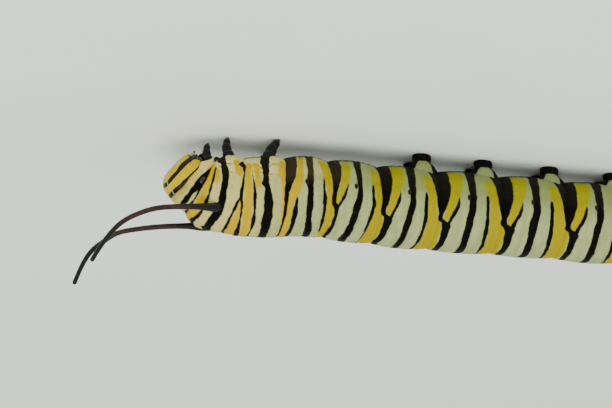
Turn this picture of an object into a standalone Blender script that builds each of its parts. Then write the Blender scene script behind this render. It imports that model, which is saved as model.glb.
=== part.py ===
"""A monarch butterfly larva of the last stage, life size, standing on its legs on level ground.

Axes: +X towards the head, +Y the larva's left, +Z up, soles at Z = 0, with the origin on the ground
under the middle of the bounding box. Sizes and places are written in millimetres and become metres
where a mesh is made.
"""

import math

import bmesh
import bpy
import numpy as np
from mathutils import Matrix, Vector

MM = 0.001  # metres in a millimetre
GAP = 0.30  # between two pieces that meet
ORIGIN = Vector((-9.797, 0.273, 0.0))  # the middle of the bounding box, in the body's own coordinates

# The trunk, from the head backwards. Each row holds the segment's name, its length along X, its
# largest radius, the radius of the fold behind it under the belly and over the back, and at its middle
# the axis's height, its distance to the left, and how far it points down, in degrees.
NECK_X = 8.00
NECK_RADIUS = 1.58
NECK_HEIGHT = 2.78
NECK_SIDE = 0.92
NECK_DROOP = 46.0
SEGMENTS = (
    ("prothorax", 0.96, 1.88, 1.94, 2.10, 3.06, 0.94, 35.0),
    ("mesothorax", 2.43, 2.66, 2.56, 2.72, 3.54, 0.76, 13.0),
    ("metathorax", 2.90, 2.74, 2.54, 2.80, 3.62, 0.48, 2.0),
    ("abdomen_1", 3.03, 2.76, 2.50, 2.66, 3.34, 0.24, 0.0),
    ("abdomen_2", 3.39, 2.80, 2.52, 2.68, 3.42, 0.12, 0.0),
    ("abdomen_3", 4.01, 2.84, 2.54, 2.70, 3.47, 0.10, 0.0),
    ("abdomen_4", 4.51, 2.84, 2.55, 2.70, 3.42, 0.10, 0.0),
    ("abdomen_5", 4.61, 2.83, 2.52, 2.68, 3.31, 0.05, 0.0),
    ("abdomen_6", 4.49, 2.83, 2.52, 2.66, 3.28, 0.00, 0.0),
    ("abdomen_7", 4.17, 2.76, 2.42, 2.54, 3.20, 0.00, -2.0),
    ("abdomen_8", 3.60, 2.56, 2.14, 2.24, 3.00, 0.00, -6.0),
    ("abdomen_9", 2.20, 2.12, 1.88, 1.96, 2.70, 0.00, -9.0),
    ("abdomen_10", 2.50, 1.86, 1.20, 1.26, 2.35, 0.00, -14.0),
)
BELLY_SHARE = 0.96  # the belly's radius, beside that of the back
LOBE_PLACE = 0.36  # the middle of the soft lobe of the first segment, over the root of its leg
LOBE_TURN = 130.0  # from the middle of the back
LOBE_HEIGHT = 0.80
LOBE_LENGTH = 0.56  # along the body, to where it has sunk by two thirds
LOBE_WIDTH = 0.33  # round the body, in radians
ROOT_UNDER_LOBE = 0.37  # how deep the root of the first leg lies under its lobe
SWELL_POWER = 2.4  # how flat the top of a segment's swelling is
SIDES = 28  # round the trunk
RINGS = (0.12, 0.28, 0.44, 0.60, 0.76, 0.90)  # along a segment, besides its two ends
ENVELOPE_RINGS = 61  # five to a segment
TAIL_RINGS = (0.14, 0.30, 0.46, 0.62, 0.76, 0.88, 0.96, 1.0)
TAIL_POWER = 2.6  # how blunt the tail's end is
TAIL_FLAT = 0.11  # the radius left at the very end, as a share of the full one

# The head, a dome on the neck's plane, in its own frame: forward out of the face, left, and crown.
HEAD_DEPTH = 1.24
HEAD_HALF_WIDTH = 1.66
HEAD_HALF_HEIGHT = 1.62
FACE_JUT = 0.38  # how much deeper the face is at its lower edge than at the crown
FACE_FLAT = 0.13  # how much the middle of the face is pressed in
FLAT_FROM = 0.64  # the height of the dome where that starts, as a share of its depth
CROWN_CLEFT = 0.10  # how deep the two halves of the head part at the crown
CLEFT_WIDTH = 0.16
MOUTH_FORWARD = 0.48
MOUTH_DOWN = 1.38
MOUTH_SIZE = (0.56, 0.58, 0.50)  # half sizes forward, sideways and up
HEAD_ROLL = 14.0  # the crown leans this far to the right, in degrees
HEAD_SIDES = 28
HEAD_RINGS = 20
MOUTH_SIDES = 14
MOUTH_RINGS = 10
FEELER_PLACE = (0.54, -0.66)  # sideways and up on the face, as shares of its half sizes
FEELER_WAY = Vector((0.45, 0.28, -0.80)).normalized()  # forward, outwards and up
FEELER_LENGTH = 0.26
FEELER_SUNK = 0.15
FEELER_RADII = (0.16, 0.08)
FEELER_SIDES = 8
EYE_PLACE = (0.76, -0.40)  # the middle of a curved row of six, in the same shares
EYE_ARC = 0.11
EYE_TURNS = (-100.0, -52.0, -4.0, 44.0, 92.0, 140.0)
EYE_RADIUS = 0.065
EYE_SIDES = 6

# The six jointed legs. Each row holds the segment it grows on, its number, its root as a place along
# that segment and an angle from the middle of the belly, the places of the right and of the left tip,
# and its thickness. The first pair and the left one of the second pair are lifted off the ground.
LEG_RADII = (0.46, 0.46, 0.42, 0.34, 0.36, 0.28, 0.22, 0.10)
LEG_STEPS = (-0.45, 0.0, 0.24, 0.36, 0.54, 0.70, 0.86, 1.0)
LEG_KNEE = 0.16  # how far a leg bows forward
LEG_SIDES = 12
LEGS = (
    ("prothorax", 0, 0.50, 34.0, (6.82, 1.05, 0.40), (6.68, 1.05, 0.40), 0.76),
    ("mesothorax", 1, 0.52, 27.0, (5.56, 1.26, -0.02), (5.50, 1.90, 0.35), 0.84),
    ("metathorax", 2, 0.62, 31.0, (2.13, 1.52, -0.02), (2.13, 1.52, -0.02), 0.98),
)

# The ten fleshy legs: four pairs under the middle of the abdomen and one pair at its end.
PROLEGS = ((5, 0.79), (6, 0.79), (7, 0.83), (8, 0.85))  # a segment's number, and the place along it
BEFORE_ABDOMEN = 2  # the third abdominal segment is number 5
PROLEG_SIDE = 0.97  # from the middle plane
PROLEG_HEIGHTS = (1.85, 1.25, 0.80, 0.52, 0.34, 0.12, 0.0)
PROLEG_LENGTHS = (1.00, 0.92, 0.78, 0.60, 0.66, 0.66, 0.56)  # half sizes along the body
PROLEG_WIDTHS = (0.78, 0.74, 0.62, 0.48, 0.51, 0.50, 0.40)  # half sizes across the body
PROLEG_SIDES = 16
CLASPER_PLACE = 0.50
CLASPER_SIDE = 0.90
CLASPER_LEAN = 0.50  # how far its foot stands behind its root

# The feelers of the back. Each row holds points of the path, as a place along, across and up.
FRONT_ROOT = 1.46  # near the middle of the mesothorax
REAR_ROOT = 10.52  # the middle of the eighth abdominal segment
FILAMENT_ANGLE = 48.0  # of a root from the middle of the back
RIGHT_FRONT_PATH = ((7.71, -1.50, 5.45), (9.35, -1.61, 5.65), (10.75, -1.74, 5.95), (12.00, -1.86, 6.50),
                    (13.05, -1.98, 7.20), (13.85, -2.14, 8.10), (14.55, -2.32, 9.15), (15.14, -2.45, 10.21))
LEFT_FRONT_PATH = ((7.40, 2.71, 5.40), (9.10, 2.74, 5.60), (10.80, 2.77, 5.93), (12.15, 2.80, 6.33),
                   (13.10, 2.83, 6.99), (13.92, 2.86, 7.75), (14.50, 2.90, 8.75), (15.03, 2.95, 10.12))
REAR_PATH = ((-0.55, 0.38, 0.85), (-1.30, 0.62, 1.65), (-2.00, 0.76, 2.65), (-2.45, 0.80, 3.55))
FILAMENT_RADII = (0.32, 0.25, 0.25, 0.25, 0.25, 0.25, 0.24, 0.12)
REAR_RADII = (0.30, 0.25, 0.25, 0.22, 0.10)
FILAMENT_DEPTH = 0.4  # where a path starts under the skin, as a share of the trunk's radius
FILAMENT_START = 0.45  # where the solid starts on that path, with 1 at the skin
FILAMENT_SIDES = 10
FRONT_RINGS = 24
REAR_RINGS = 9
FRONT_CUTS = (0.30, 0.63)  # where a front feeler is divided
EDGE_ANGLE = 50.0  # creases sharper than this stay sharp

PALE = (0.72, 0.70, 0.42)
YELLOW = (0.80, 0.62, 0.05)
BLACK = (0.02, 0.017, 0.014)
MAROON = (0.06, 0.02, 0.018)
GREY = (0.30, 0.29, 0.22)


def clear_scene():
    for item in list(bpy.data.objects):
        bpy.data.objects.remove(item)


def material(name, colour, roughness):
    made = bpy.data.materials.get(name)
    if made:
        return made
    made = bpy.data.materials.new(name)
    made.use_nodes = True
    shader = made.node_tree.nodes["Principled BSDF"]
    shader.inputs["Base Color"].default_value = (*colour, 1.0)
    shader.inputs["Roughness"].default_value = roughness
    shader.inputs["Metallic"].default_value = 0.0
    return made


def add_object(name, mesh_data, finish):
    """An object whose mesh is moved to the origin, scaled to metres and closed facing out."""
    bmesh.ops.recalc_face_normals(mesh_data, faces=mesh_data.faces)
    if mesh_data.calc_volume(signed=True) < 0:
        bmesh.ops.reverse_faces(mesh_data, faces=mesh_data.faces)
    bmesh.ops.translate(mesh_data, verts=mesh_data.verts, vec=-ORIGIN)
    bmesh.ops.scale(mesh_data, verts=mesh_data.verts, vec=(MM, MM, MM))
    mesh = bpy.data.meshes.new(name)
    mesh_data.to_mesh(mesh)
    mesh_data.free()
    mesh.materials.append(finish)
    mesh.shade_smooth()
    mesh.set_sharp_from_angle(angle=math.radians(EDGE_ANGLE))
    made = bpy.data.objects.new(name, mesh)
    bpy.context.collection.objects.link(made)
    return made


def hide_guide(guide):
    guide.hide_render = True
    guide.display_type = "WIRE"
    return guide


def boolean(target, other, operation):
    step = target.modifiers.new(other.name, "BOOLEAN")
    step.operation = operation
    step.solver = "EXACT"
    step.object = other


def smooth(places, values, place):
    """A smooth curve through values at rising places, read at place."""
    last = len(places) - 1
    index = min(max(int(np.searchsorted(places, place)) - 1, 0), last - 1)

    def slope(knot):
        before, after = max(knot - 1, 0), min(knot + 1, last)
        return (values[after] - values[before]) / (places[after] - places[before])

    span = places[index + 1] - places[index]
    share = (place - places[index]) / span
    square = share * share
    cube = square * share
    return ((2 * cube - 3 * square + 1) * values[index] + (cube - 2 * square + share) * span * slope(index)
            + (3 * square - 2 * cube) * values[index + 1] + (cube - square) * span * slope(index + 1))


def trunk_rows():
    """Borders of the segments, and the axis's height, side and droop at their middles."""
    borders, middles, heights, sides, droops = [0.0], [0.0], [NECK_HEIGHT], [NECK_SIDE], [NECK_DROOP]
    for _, length, _, _, _, height, side, droop in SEGMENTS:
        middles.append(borders[-1] + length / 2)
        borders.append(borders[-1] + length)
        heights.append(height)
        sides.append(side)
        droops.append(droop)
    return borders, middles, heights, sides, droops


BORDERS, MIDDLES, HEIGHT_ROW, SIDE_ROW, DROOP_ROW = trunk_rows()
BELLY_FOLDS = [NECK_RADIUS] + [row[3] for row in SEGMENTS]
BACK_FOLDS = [NECK_RADIUS] + [row[4] for row in SEGMENTS]


def behind_neck(place):
    """How far behind the neck a place lies, where place 2.5 is the middle of the third segment."""
    return float(np.interp(place, range(len(BORDERS)), BORDERS))


def axis_point(place):
    back = behind_neck(place)
    return Vector((NECK_X - back, smooth(MIDDLES, SIDE_ROW, back), smooth(MIDDLES, HEIGHT_ROW, back)))


def trunk_frame(place):
    """Directions forward, left and up of the body at that place."""
    back = behind_neck(place)
    turn = smooth(MIDDLES, SIDE_ROW, back - 0.05) - smooth(MIDDLES, SIDE_ROW, back + 0.05)
    level = Vector((0.1, turn, 0.0)).normalized()
    left = Vector((-level.y, level.x, 0.0))
    droop = math.radians(smooth(MIDDLES, DROOP_ROW, back))
    forward = level * math.cos(droop) - Vector((0, 0, math.sin(droop)))
    return forward, left, forward.cross(left)


def trunk_radius(place, angle):
    """The angle is measured from the middle of the back towards the left."""
    index = min(max(int(math.floor(place)), 0), len(SEGMENTS) - 1)
    share = place - index
    on_back = (1 + math.cos(angle)) / 2
    ahead, behind = (BELLY_FOLDS[end] * (1 - on_back) + BACK_FOLDS[end] * on_back
                     for end in (index, index + 1))
    fold = ahead * (1 - share) + behind * share
    swelling = 1 - abs(2 * share - 1) ** SWELL_POWER
    from_lobe = (behind_neck(place) - behind_neck(LOBE_PLACE)) / LOBE_LENGTH
    round_lobe = (math.acos(math.cos(angle)) - math.radians(LOBE_TURN)) / LOBE_WIDTH
    lobe = LOBE_HEIGHT * math.exp(-from_lobe ** 2 - round_lobe ** 2)
    return fold + max(SEGMENTS[index][2] - fold, 0.0) * swelling + lobe


def trunk_point(place, angle, pushed_out=0.0, share=1.0):
    """A point of the skin, pushed out from it, or drawn in to a share of its radius."""
    forward, left, up = trunk_frame(place)
    radius = trunk_radius(place, angle) * share + pushed_out
    across, rise = math.sin(angle), math.cos(angle)
    if rise < 0:
        rise *= BELLY_SHARE
    return axis_point(place) + left * across * radius + up * rise * radius


def loft(rings):
    """A closed body through rings with the same number of points, with flat ends."""
    body = bmesh.new()
    loops = [[body.verts.new(point) for point in ring] for ring in rings]
    count = len(loops[0])
    for near, far in zip(loops, loops[1:]):
        for index in range(count):
            after = (index + 1) % count
            body.faces.new((near[index], near[after], far[after], far[index]))
    body.faces.new(loops[0])
    body.faces.new(loops[-1])
    return body


def trunk_ring(place, pushed_out=0.0, share=1.0):
    return [trunk_point(place, 2 * math.pi * (index + 0.5) / SIDES, pushed_out, share)
            for index in range(SIDES)]


def fold_edge(index):
    """Half a gap, as a share of the segment's length."""
    return GAP / 2 / (axis_point(index + 1) - axis_point(index)).length


def trunk_segment(index, finish):
    """One ring of the body, with a flat end at each fold, half a gap short of its neighbour."""
    edge = fold_edge(index)
    shares = [edge] + [edge + share * (1 - 2 * edge) for share in RINGS] + [1 - edge]
    body = loft([trunk_ring(index + share) for share in shares])
    return add_object(SEGMENTS[index][0], body, finish)


def tail_closing(share):
    return max(math.sqrt(1 - share ** TAIL_POWER), TAIL_FLAT)


def tail_segment(index, finish):
    """The last ring, which closes in a rounded end over the hind pair of legs."""
    rings = [trunk_ring(index + fold_edge(index))]
    rings += [trunk_ring(index + share, 0.0, tail_closing(share)) for share in TAIL_RINGS]
    return add_object(SEGMENTS[index][0], loft(rings), finish)


def envelope():
    """The whole skin pushed out by the gap: what grows on the body is cut back to it."""
    last = len(SEGMENTS) - 1
    rings = [trunk_ring(place, GAP) for place in np.linspace(0, last, ENVELOPE_RINGS)]
    rings += [trunk_ring(last + share, GAP, tail_closing(share)) for share in TAIL_RINGS]
    return hide_guide(add_object("guide_skin", loft(rings), material("guide", PALE, 0.5)))


def head_matrix():
    forward, left, up = trunk_frame(0.0)
    matrix = Matrix((forward, left, up)).transposed().to_4x4()
    matrix.translation = axis_point(0.0) + forward * GAP / 2
    return matrix @ Matrix.Rotation(math.radians(HEAD_ROLL), 4, "X")


def ellipsoid(body, centre, half_sizes, segments, rings):
    matrix = Matrix.Translation(centre) @ Matrix.Diagonal((*half_sizes, 1.0))
    bmesh.ops.create_uvsphere(body, u_segments=segments, v_segments=rings, radius=1.0, matrix=matrix)


def cone(body, start, end):
    """A feeler of the face, from a point under its surface to the tip."""
    direction = end - start
    turn = direction.to_track_quat("Z", "Y").to_matrix().to_4x4()
    matrix = Matrix.Translation((start + end) / 2) @ turn
    bmesh.ops.create_cone(body, cap_ends=True, segments=FEELER_SIDES, radius1=FEELER_RADII[0],
                          radius2=FEELER_RADII[1], depth=direction.length, matrix=matrix)


def face_depth(side, height):
    """How far the face stands out, where side and height are shares of the head's half sizes."""
    rise = math.sqrt(max(1 - side ** 2 - height ** 2, 0.0))
    flat = FACE_FLAT * (max(rise - FLAT_FROM, 0.0) / (1 - FLAT_FROM)) ** 1.5
    dome = HEAD_DEPTH * rise - flat
    cleft = CROWN_CLEFT * max(height, 0.0) * math.exp(-(side / CLEFT_WIDTH) ** 2)
    return dome * (1 + FACE_JUT * max(-height, 0.0) - cleft)


def face_point(side, height):
    return Vector((face_depth(side, height), side * HEAD_HALF_WIDTH, height * HEAD_HALF_HEIGHT))


def head(finish, dark):
    """The head capsule with its mouth, its two feelers and six small eyes on each side."""
    place = head_matrix()
    dome = bmesh.new()
    ellipsoid(dome, (0, 0, 0), (1, 1, 1), HEAD_SIDES, HEAD_RINGS)
    bmesh.ops.bisect_plane(dome, geom=dome.verts[:] + dome.edges[:] + dome.faces[:], dist=1e-5,
                           plane_co=(0, 0, 0), plane_no=(-1, 0, 0), clear_outer=True)
    bmesh.ops.holes_fill(dome, edges=[edge for edge in dome.edges if edge.is_boundary], sides=0)
    for vert in dome.verts:
        on_rim = abs(vert.co.x) < 1e-4
        point = face_point(vert.co.y, vert.co.z)
        vert.co = Vector((0.0 if on_rim else point.x, point.y, point.z))
    bmesh.ops.transform(dome, matrix=place, verts=dome.verts)
    made = add_object("head", dome, finish)

    mouth = bmesh.new()
    ellipsoid(mouth, (MOUTH_FORWARD, 0, -MOUTH_DOWN), MOUTH_SIZE, MOUTH_SIDES, MOUTH_RINGS)
    bmesh.ops.transform(mouth, matrix=place, verts=mouth.verts)
    boolean(made, hide_guide(add_object("guide_mouth", mouth, dark)), "UNION")

    small = bmesh.new()
    for sign in (-1, 1):
        root = face_point(sign * FEELER_PLACE[0], FEELER_PLACE[1])
        outward = Vector((FEELER_WAY.x, sign * FEELER_WAY.y, FEELER_WAY.z))
        cone(small, root - outward * FEELER_SUNK, root + outward * FEELER_LENGTH)
        for turn in EYE_TURNS:
            turn = math.radians(turn)
            centre = face_point(sign * (EYE_PLACE[0] + EYE_ARC * math.cos(turn)),
                                EYE_PLACE[1] + EYE_ARC * math.sin(turn))
            ellipsoid(small, centre, (EYE_RADIUS,) * 3, EYE_SIDES, EYE_SIDES - 1)
    bmesh.ops.transform(small, matrix=place, verts=small.verts)
    boolean(made, hide_guide(add_object("guide_eyes", small, dark)), "UNION")
    return made


def sweep(points, radii, sides):
    """Rings round a path, with the radius spread evenly along it."""
    rings = []
    normal = None
    last = len(points) - 1
    for index, point in enumerate(points):
        ahead = (points[min(index + 1, last)] - points[max(index - 1, 0)]).normalized()
        if normal is None:
            normal = ahead.orthogonal().normalized()
        normal = (normal - ahead * normal.dot(ahead)).normalized()
        other = ahead.cross(normal)
        rings.append([point + (normal * math.cos(turn) + other * math.sin(turn)) * radii[index]
                      for turn in (2 * math.pi * side / sides for side in range(sides))])
    return rings


def level_sole(body):
    """Cuts a foot flat where it meets the ground."""
    bmesh.ops.bisect_plane(body, geom=body.verts[:] + body.edges[:] + body.faces[:], dist=1e-5,
                           plane_co=(0, 0, 0), plane_no=(0, 0, -1), clear_outer=True)
    bmesh.ops.holes_fill(body, edges=[edge for edge in body.edges if edge.is_boundary], sides=0)
    for vert in body.verts:
        if abs(vert.co.z) < 1e-4:
            vert.co.z = 0.0


def jointed_leg(row, sign, skin, finish):
    """A short leg of three hard joints and a claw, from under the thorax to the ground."""
    segment, index, share, angle, right_tip, left_tip, thickness = row
    tip = left_tip if sign > 0 else right_tip
    side_angle = math.pi - sign * math.radians(angle)
    root = trunk_point(index + share, side_angle, 0.0 if index else -ROOT_UNDER_LOBE)
    axis = axis_point(index + share)
    end = Vector((tip[0], axis.y + sign * tip[1], tip[2]))
    knee = Vector((LEG_KNEE, 0, 0))
    points = [root.lerp(end, step) + knee * math.sin(math.pi * max(step, 0)) for step in LEG_STEPS]
    body = loft(sweep(points, [radius * thickness for radius in LEG_RADII], LEG_SIDES))
    level_sole(body)
    name = "leg_" + segment + ("_left" if sign > 0 else "_right")
    boolean(add_object(name, body, finish), skin, "DIFFERENCE")


def fleshy_leg(name, foot, lean, skin, finish):
    """A soft leg with a narrow ankle over a flat foot, whose foot stands behind its root by the lean."""
    rings = []
    for height, half_length, half_width in zip(PROLEG_HEIGHTS, PROLEG_LENGTHS, PROLEG_WIDTHS):
        centre = Vector((foot.x - lean * (1 - height / PROLEG_HEIGHTS[0]), foot.y, height))
        turns = [2 * math.pi * side / PROLEG_SIDES for side in range(PROLEG_SIDES)]
        rings.append([centre + Vector((half_length * math.cos(turn), half_width * math.sin(turn), 0))
                      for turn in turns])
    boolean(add_object(name, loft(rings), finish), skin, "DIFFERENCE")


def proleg(index, place, sign, skin, finish):
    """One of the four pairs under the middle of the abdomen."""
    axis = axis_point(index + place)
    foot = Vector((axis.x, axis.y + sign * PROLEG_SIDE, 0))
    name = f"proleg_{index - BEFORE_ABDOMEN}_" + ("left" if sign > 0 else "right")
    fleshy_leg(name, foot, 0.0, skin, finish)


def clasper(sign, skin, finish):
    """One of the last pair of fleshy legs, which leans back under the tail."""
    axis = axis_point(len(SEGMENTS) - 1 + CLASPER_PLACE)
    foot = Vector((axis.x, axis.y + sign * CLASPER_SIDE, 0))
    fleshy_leg("clasper_" + ("left" if sign > 0 else "right"), foot, CLASPER_LEAN, skin, finish)


def filament_path(place, root, points, count):
    """Evenly numbered points of a smooth curve from under the skin, through the root and the points."""
    row = [root.lerp(axis_point(place), FILAMENT_DEPTH), root] + points
    knots = list(range(len(row)))
    return [Vector([smooth(knots, [point[axis] for point in row], step) for axis in range(3)])
            for step in np.linspace(FILAMENT_START, len(row) - 1, count)]


def filament_radii(radii, count):
    knots = list(range(len(radii)))
    return [smooth(knots, radii, place) for place in np.linspace(0, len(radii) - 1, count)]


def slide_ring(points, index, amount):
    """A point of the path, moved along it by amount."""
    direction = (points[min(index + 1, len(points) - 1)] - points[max(index - 1, 0)]).normalized()
    return points[index] + direction * amount


def front_filament(sign, path, skin, finishes):
    """A long feeler of the mesothorax, in three lengths."""
    root = trunk_point(FRONT_ROOT, sign * math.radians(FILAMENT_ANGLE))
    points = filament_path(FRONT_ROOT, root, [Vector(point) for point in path], FRONT_RINGS)
    radii = filament_radii(FILAMENT_RADII, FRONT_RINGS)
    cuts = [0] + [round(share * (FRONT_RINGS - 1)) for share in FRONT_CUTS] + [FRONT_RINGS - 1]
    side = "left" if sign > 0 else "right"
    for number, (start, end) in enumerate(zip(cuts, cuts[1:])):
        run = points[start:end + 1]
        if start:
            run[0] = slide_ring(points, start, GAP / 2)
        if end < FRONT_RINGS - 1:
            run[-1] = slide_ring(points, end, -GAP / 2)
        body = loft(sweep(run, radii[start:end + 1], FILAMENT_SIDES))
        made = add_object(f"front_filament_{side}_{number + 1}", body, finishes[number])
        if number == 0:
            boolean(made, skin, "DIFFERENCE")


def rear_filament(sign, skin, finish):
    """A short feeler of the eighth abdominal segment."""
    root = trunk_point(REAR_ROOT, sign * math.radians(FILAMENT_ANGLE))
    points = [root + Vector((step[0], sign * step[1], step[2])) for step in REAR_PATH]
    path = filament_path(REAR_ROOT, root, points, REAR_RINGS)
    body = loft(sweep(path, filament_radii(REAR_RADII, REAR_RINGS), FILAMENT_SIDES))
    name = "rear_filament_" + ("left" if sign > 0 else "right")
    boolean(add_object(name, body, finish), skin, "DIFFERENCE")


def build():
    clear_scene()
    flesh = material("flesh", PALE, 0.45)
    capsule = material("capsule", YELLOW, 0.3)
    horn = material("horn", BLACK, 0.25)
    dull_black = material("dull_black", BLACK, 0.5)
    brown = material("brown", MAROON, 0.45)
    grey = material("grey_flesh", GREY, 0.5)
    skin = envelope()
    head(capsule, horn)
    for index in range(len(SEGMENTS) - 1):
        trunk_segment(index, flesh)
    tail_segment(len(SEGMENTS) - 1, flesh)
    for sign in (-1, 1):
        for row in LEGS:
            jointed_leg(row, sign, skin, horn)
        for index, place in PROLEGS:
            proleg(index, place, sign, skin, grey)
        clasper(sign, skin, grey)
        rear_filament(sign, skin, dull_black)
    finishes = (dull_black, brown, dull_black)
    front_filament(-1, RIGHT_FRONT_PATH, skin, finishes)
    front_filament(1, LEFT_FRONT_PATH, skin, finishes)


build()
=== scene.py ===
import math

import bpy
import numpy as np
from mathutils import Matrix, Vector


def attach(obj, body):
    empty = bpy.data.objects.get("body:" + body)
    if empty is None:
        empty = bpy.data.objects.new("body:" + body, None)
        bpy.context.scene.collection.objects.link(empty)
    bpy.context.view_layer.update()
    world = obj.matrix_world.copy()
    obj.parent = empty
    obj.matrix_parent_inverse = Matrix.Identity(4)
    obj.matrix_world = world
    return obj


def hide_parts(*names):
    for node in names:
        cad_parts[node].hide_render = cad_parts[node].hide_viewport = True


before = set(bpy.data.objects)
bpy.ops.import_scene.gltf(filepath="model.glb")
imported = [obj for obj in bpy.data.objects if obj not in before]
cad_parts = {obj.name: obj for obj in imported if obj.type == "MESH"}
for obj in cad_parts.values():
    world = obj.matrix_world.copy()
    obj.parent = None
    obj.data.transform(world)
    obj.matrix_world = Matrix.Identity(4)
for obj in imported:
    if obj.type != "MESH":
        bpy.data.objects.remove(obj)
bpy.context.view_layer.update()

# The skin of the body: one soft hide over the three rings of the thorax and the ten of the abdomen. It is
# rolled up from a flat sheet, which holds the place along the body and the turn round it, and the sheet is
# closed under the belly and at both ends.
MM = 0.001
ORIGIN = np.array((-9.797, 0.273, 0.0))
NECK_X = 8.00
NECK = (1.58, 2.78, 0.92, 46.0)  # radius, height, side and droop
RINGS_OF_BODY = (  # length, radius, folds behind under belly and over back, height, side, droop
    ("prothorax", 0.96, 1.88, 1.94, 2.10, 3.06, 0.94, 35.0),
    ("mesothorax", 2.43, 2.66, 2.56, 2.72, 3.54, 0.76, 13.0),
    ("metathorax", 2.90, 2.74, 2.54, 2.80, 3.62, 0.48, 2.0),
    ("abdomen_1", 3.03, 2.76, 2.50, 2.66, 3.34, 0.24, 0.0),
    ("abdomen_2", 3.39, 2.80, 2.52, 2.68, 3.42, 0.12, 0.0),
    ("abdomen_3", 4.01, 2.84, 2.54, 2.70, 3.47, 0.10, 0.0),
    ("abdomen_4", 4.51, 2.84, 2.55, 2.70, 3.42, 0.10, 0.0),
    ("abdomen_5", 4.61, 2.83, 2.52, 2.68, 3.31, 0.05, 0.0),
    ("abdomen_6", 4.49, 2.83, 2.52, 2.66, 3.28, 0.00, 0.0),
    ("abdomen_7", 4.17, 2.76, 2.42, 2.54, 3.20, 0.00, -2.0),
    ("abdomen_8", 3.60, 2.56, 2.14, 2.24, 3.00, 0.00, -6.0),
    ("abdomen_9", 2.20, 2.12, 1.88, 1.96, 2.70, 0.00, -9.0),
    ("abdomen_10", 2.50, 1.86, 1.20, 1.26, 2.35, 0.00, -14.0),
)
LAST = len(RINGS_OF_BODY) - 1
HEAD_ROLL = math.radians(14)  # the crown of the head leans to the right, and the collar behind it with it
lengths, swells = (np.array([row[column] for row in RINGS_OF_BODY]) for column in (1, 2))
borders = np.concatenate(([0.0], np.cumsum(lengths)))
middles = np.concatenate(([0.0], borders[:-1] + lengths / 2))
belly_folds, back_folds, heights, sides, droops = (
    np.array([at_neck] + [row[column] for row in RINGS_OF_BODY])
    for column, at_neck in enumerate((NECK[0], *NECK), 3))


def curve(knots, values, at):
    """A smooth curve through values at rising knots."""
    knots, values = np.asarray(knots, float), np.asarray(values, float)
    slopes = np.empty(len(values))
    slopes[1:-1] = (values[2:] - values[:-2]) / (knots[2:] - knots[:-2])
    slopes[0] = (values[1] - values[0]) / (knots[1] - knots[0])
    slopes[-1] = (values[-1] - values[-2]) / (knots[-1] - knots[-2])
    index = np.clip(np.searchsorted(knots, at) - 1, 0, len(knots) - 2)
    span = knots[index + 1] - knots[index]
    t = (at - knots[index]) / span
    return ((2 * t**3 - 3 * t**2 + 1) * values[index] + (t**3 - 2 * t**2 + t) * span * slopes[index]
            + (3 * t**2 - 2 * t**3) * values[index + 1] + (t**3 - t**2) * span * slopes[index + 1])


def curve_of_rows(rows, column, at):
    """A smooth curve through one column of a table, whose first column holds the knots."""
    return curve([row[0] for row in rows], [row[column] for row in rows], at)


def soft_step(low, high, value):
    t = np.clip((value - low) / (high - low), 0, 1)
    return t * t * (3 - 2 * t)


def hump(distance, width):
    """A soft round hump, 1 at its top and nearly 0 beyond twice its width."""
    return np.exp(-(distance / width) ** 2)


def behind_neck(place):
    """How far a place lies behind the neck, in millimetres, where 2.5 is the middle of the third ring."""
    return np.interp(place, range(len(borders)), borders)


def axis_of_body(place):
    back = behind_neck(place)
    return np.stack((NECK_X - back, curve(middles, sides, back), curve(middles, heights, back)), -1)


def directions(place):
    """Forward, left and up of the body at a place."""
    back = behind_neck(place)
    turn = curve(middles, sides, back - 0.05) - curve(middles, sides, back + 0.05)
    size = np.hypot(0.1, turn)
    level = np.stack((0.1 / size, turn / size, 0 * turn), -1)
    left = np.stack((-level[..., 1], level[..., 0], 0 * turn), -1)
    droop = np.radians(curve(middles, droops, back))[..., None]
    forward = level * np.cos(droop) - np.array((0, 0, 1.0)) * np.sin(droop)
    return forward, left, np.cross(forward, left)


CREASES = (  # turn, depth, width in radians
    (117, 0.060, 0.026), (108, 0.055, 0.022), (97, 0.030, 0.022), (126, 0.040, 0.028))
FURROWS = ((0.19, 0.020), (0.34, 0.030), (0.55, 0.038), (0.77, 0.038), (0.90, 0.020))  # share, depth
FURROW_WIDTH = 0.11
FOLD_DEPTH, FOLD_WIDTH = 0.07, 0.10
BELLY_SQUEEZE = 0.96
LEG_LOBES = (  # the swellings over the jointed legs: place, turn, height, length, width in radians
    (0.36, 130, 0.80, 0.56, 0.33), (1.68, 133, 0.22, 0.75, 0.38), (2.74, 133, 0.26, 0.75, 0.38))


def thorax_creases(place, angle):
    """The depth of the creases that run along the lower sides of the thorax, in millimetres."""
    share = place - np.floor(place)
    on_thorax = soft_step(0.75, 1.15, place) * (1 - soft_step(2.9, 3.3, place))
    on_thorax = on_thorax * (1 - np.abs(2 * share - 1) ** 6)
    depth = 0
    for turn, deep, width in CREASES:
        lean = 0.06 * np.sin(share * 5 + turn) + 0.012 * np.sin(share * 23 + turn)
        ends = soft_step(0.06, 0.26, share) * (1 - soft_step(0.62 + 0.003 * turn, 0.98, share))
        depth = depth + ends * deep * hump(np.abs(angle) - math.radians(turn) - lean, width)
    return on_thorax * depth


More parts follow.
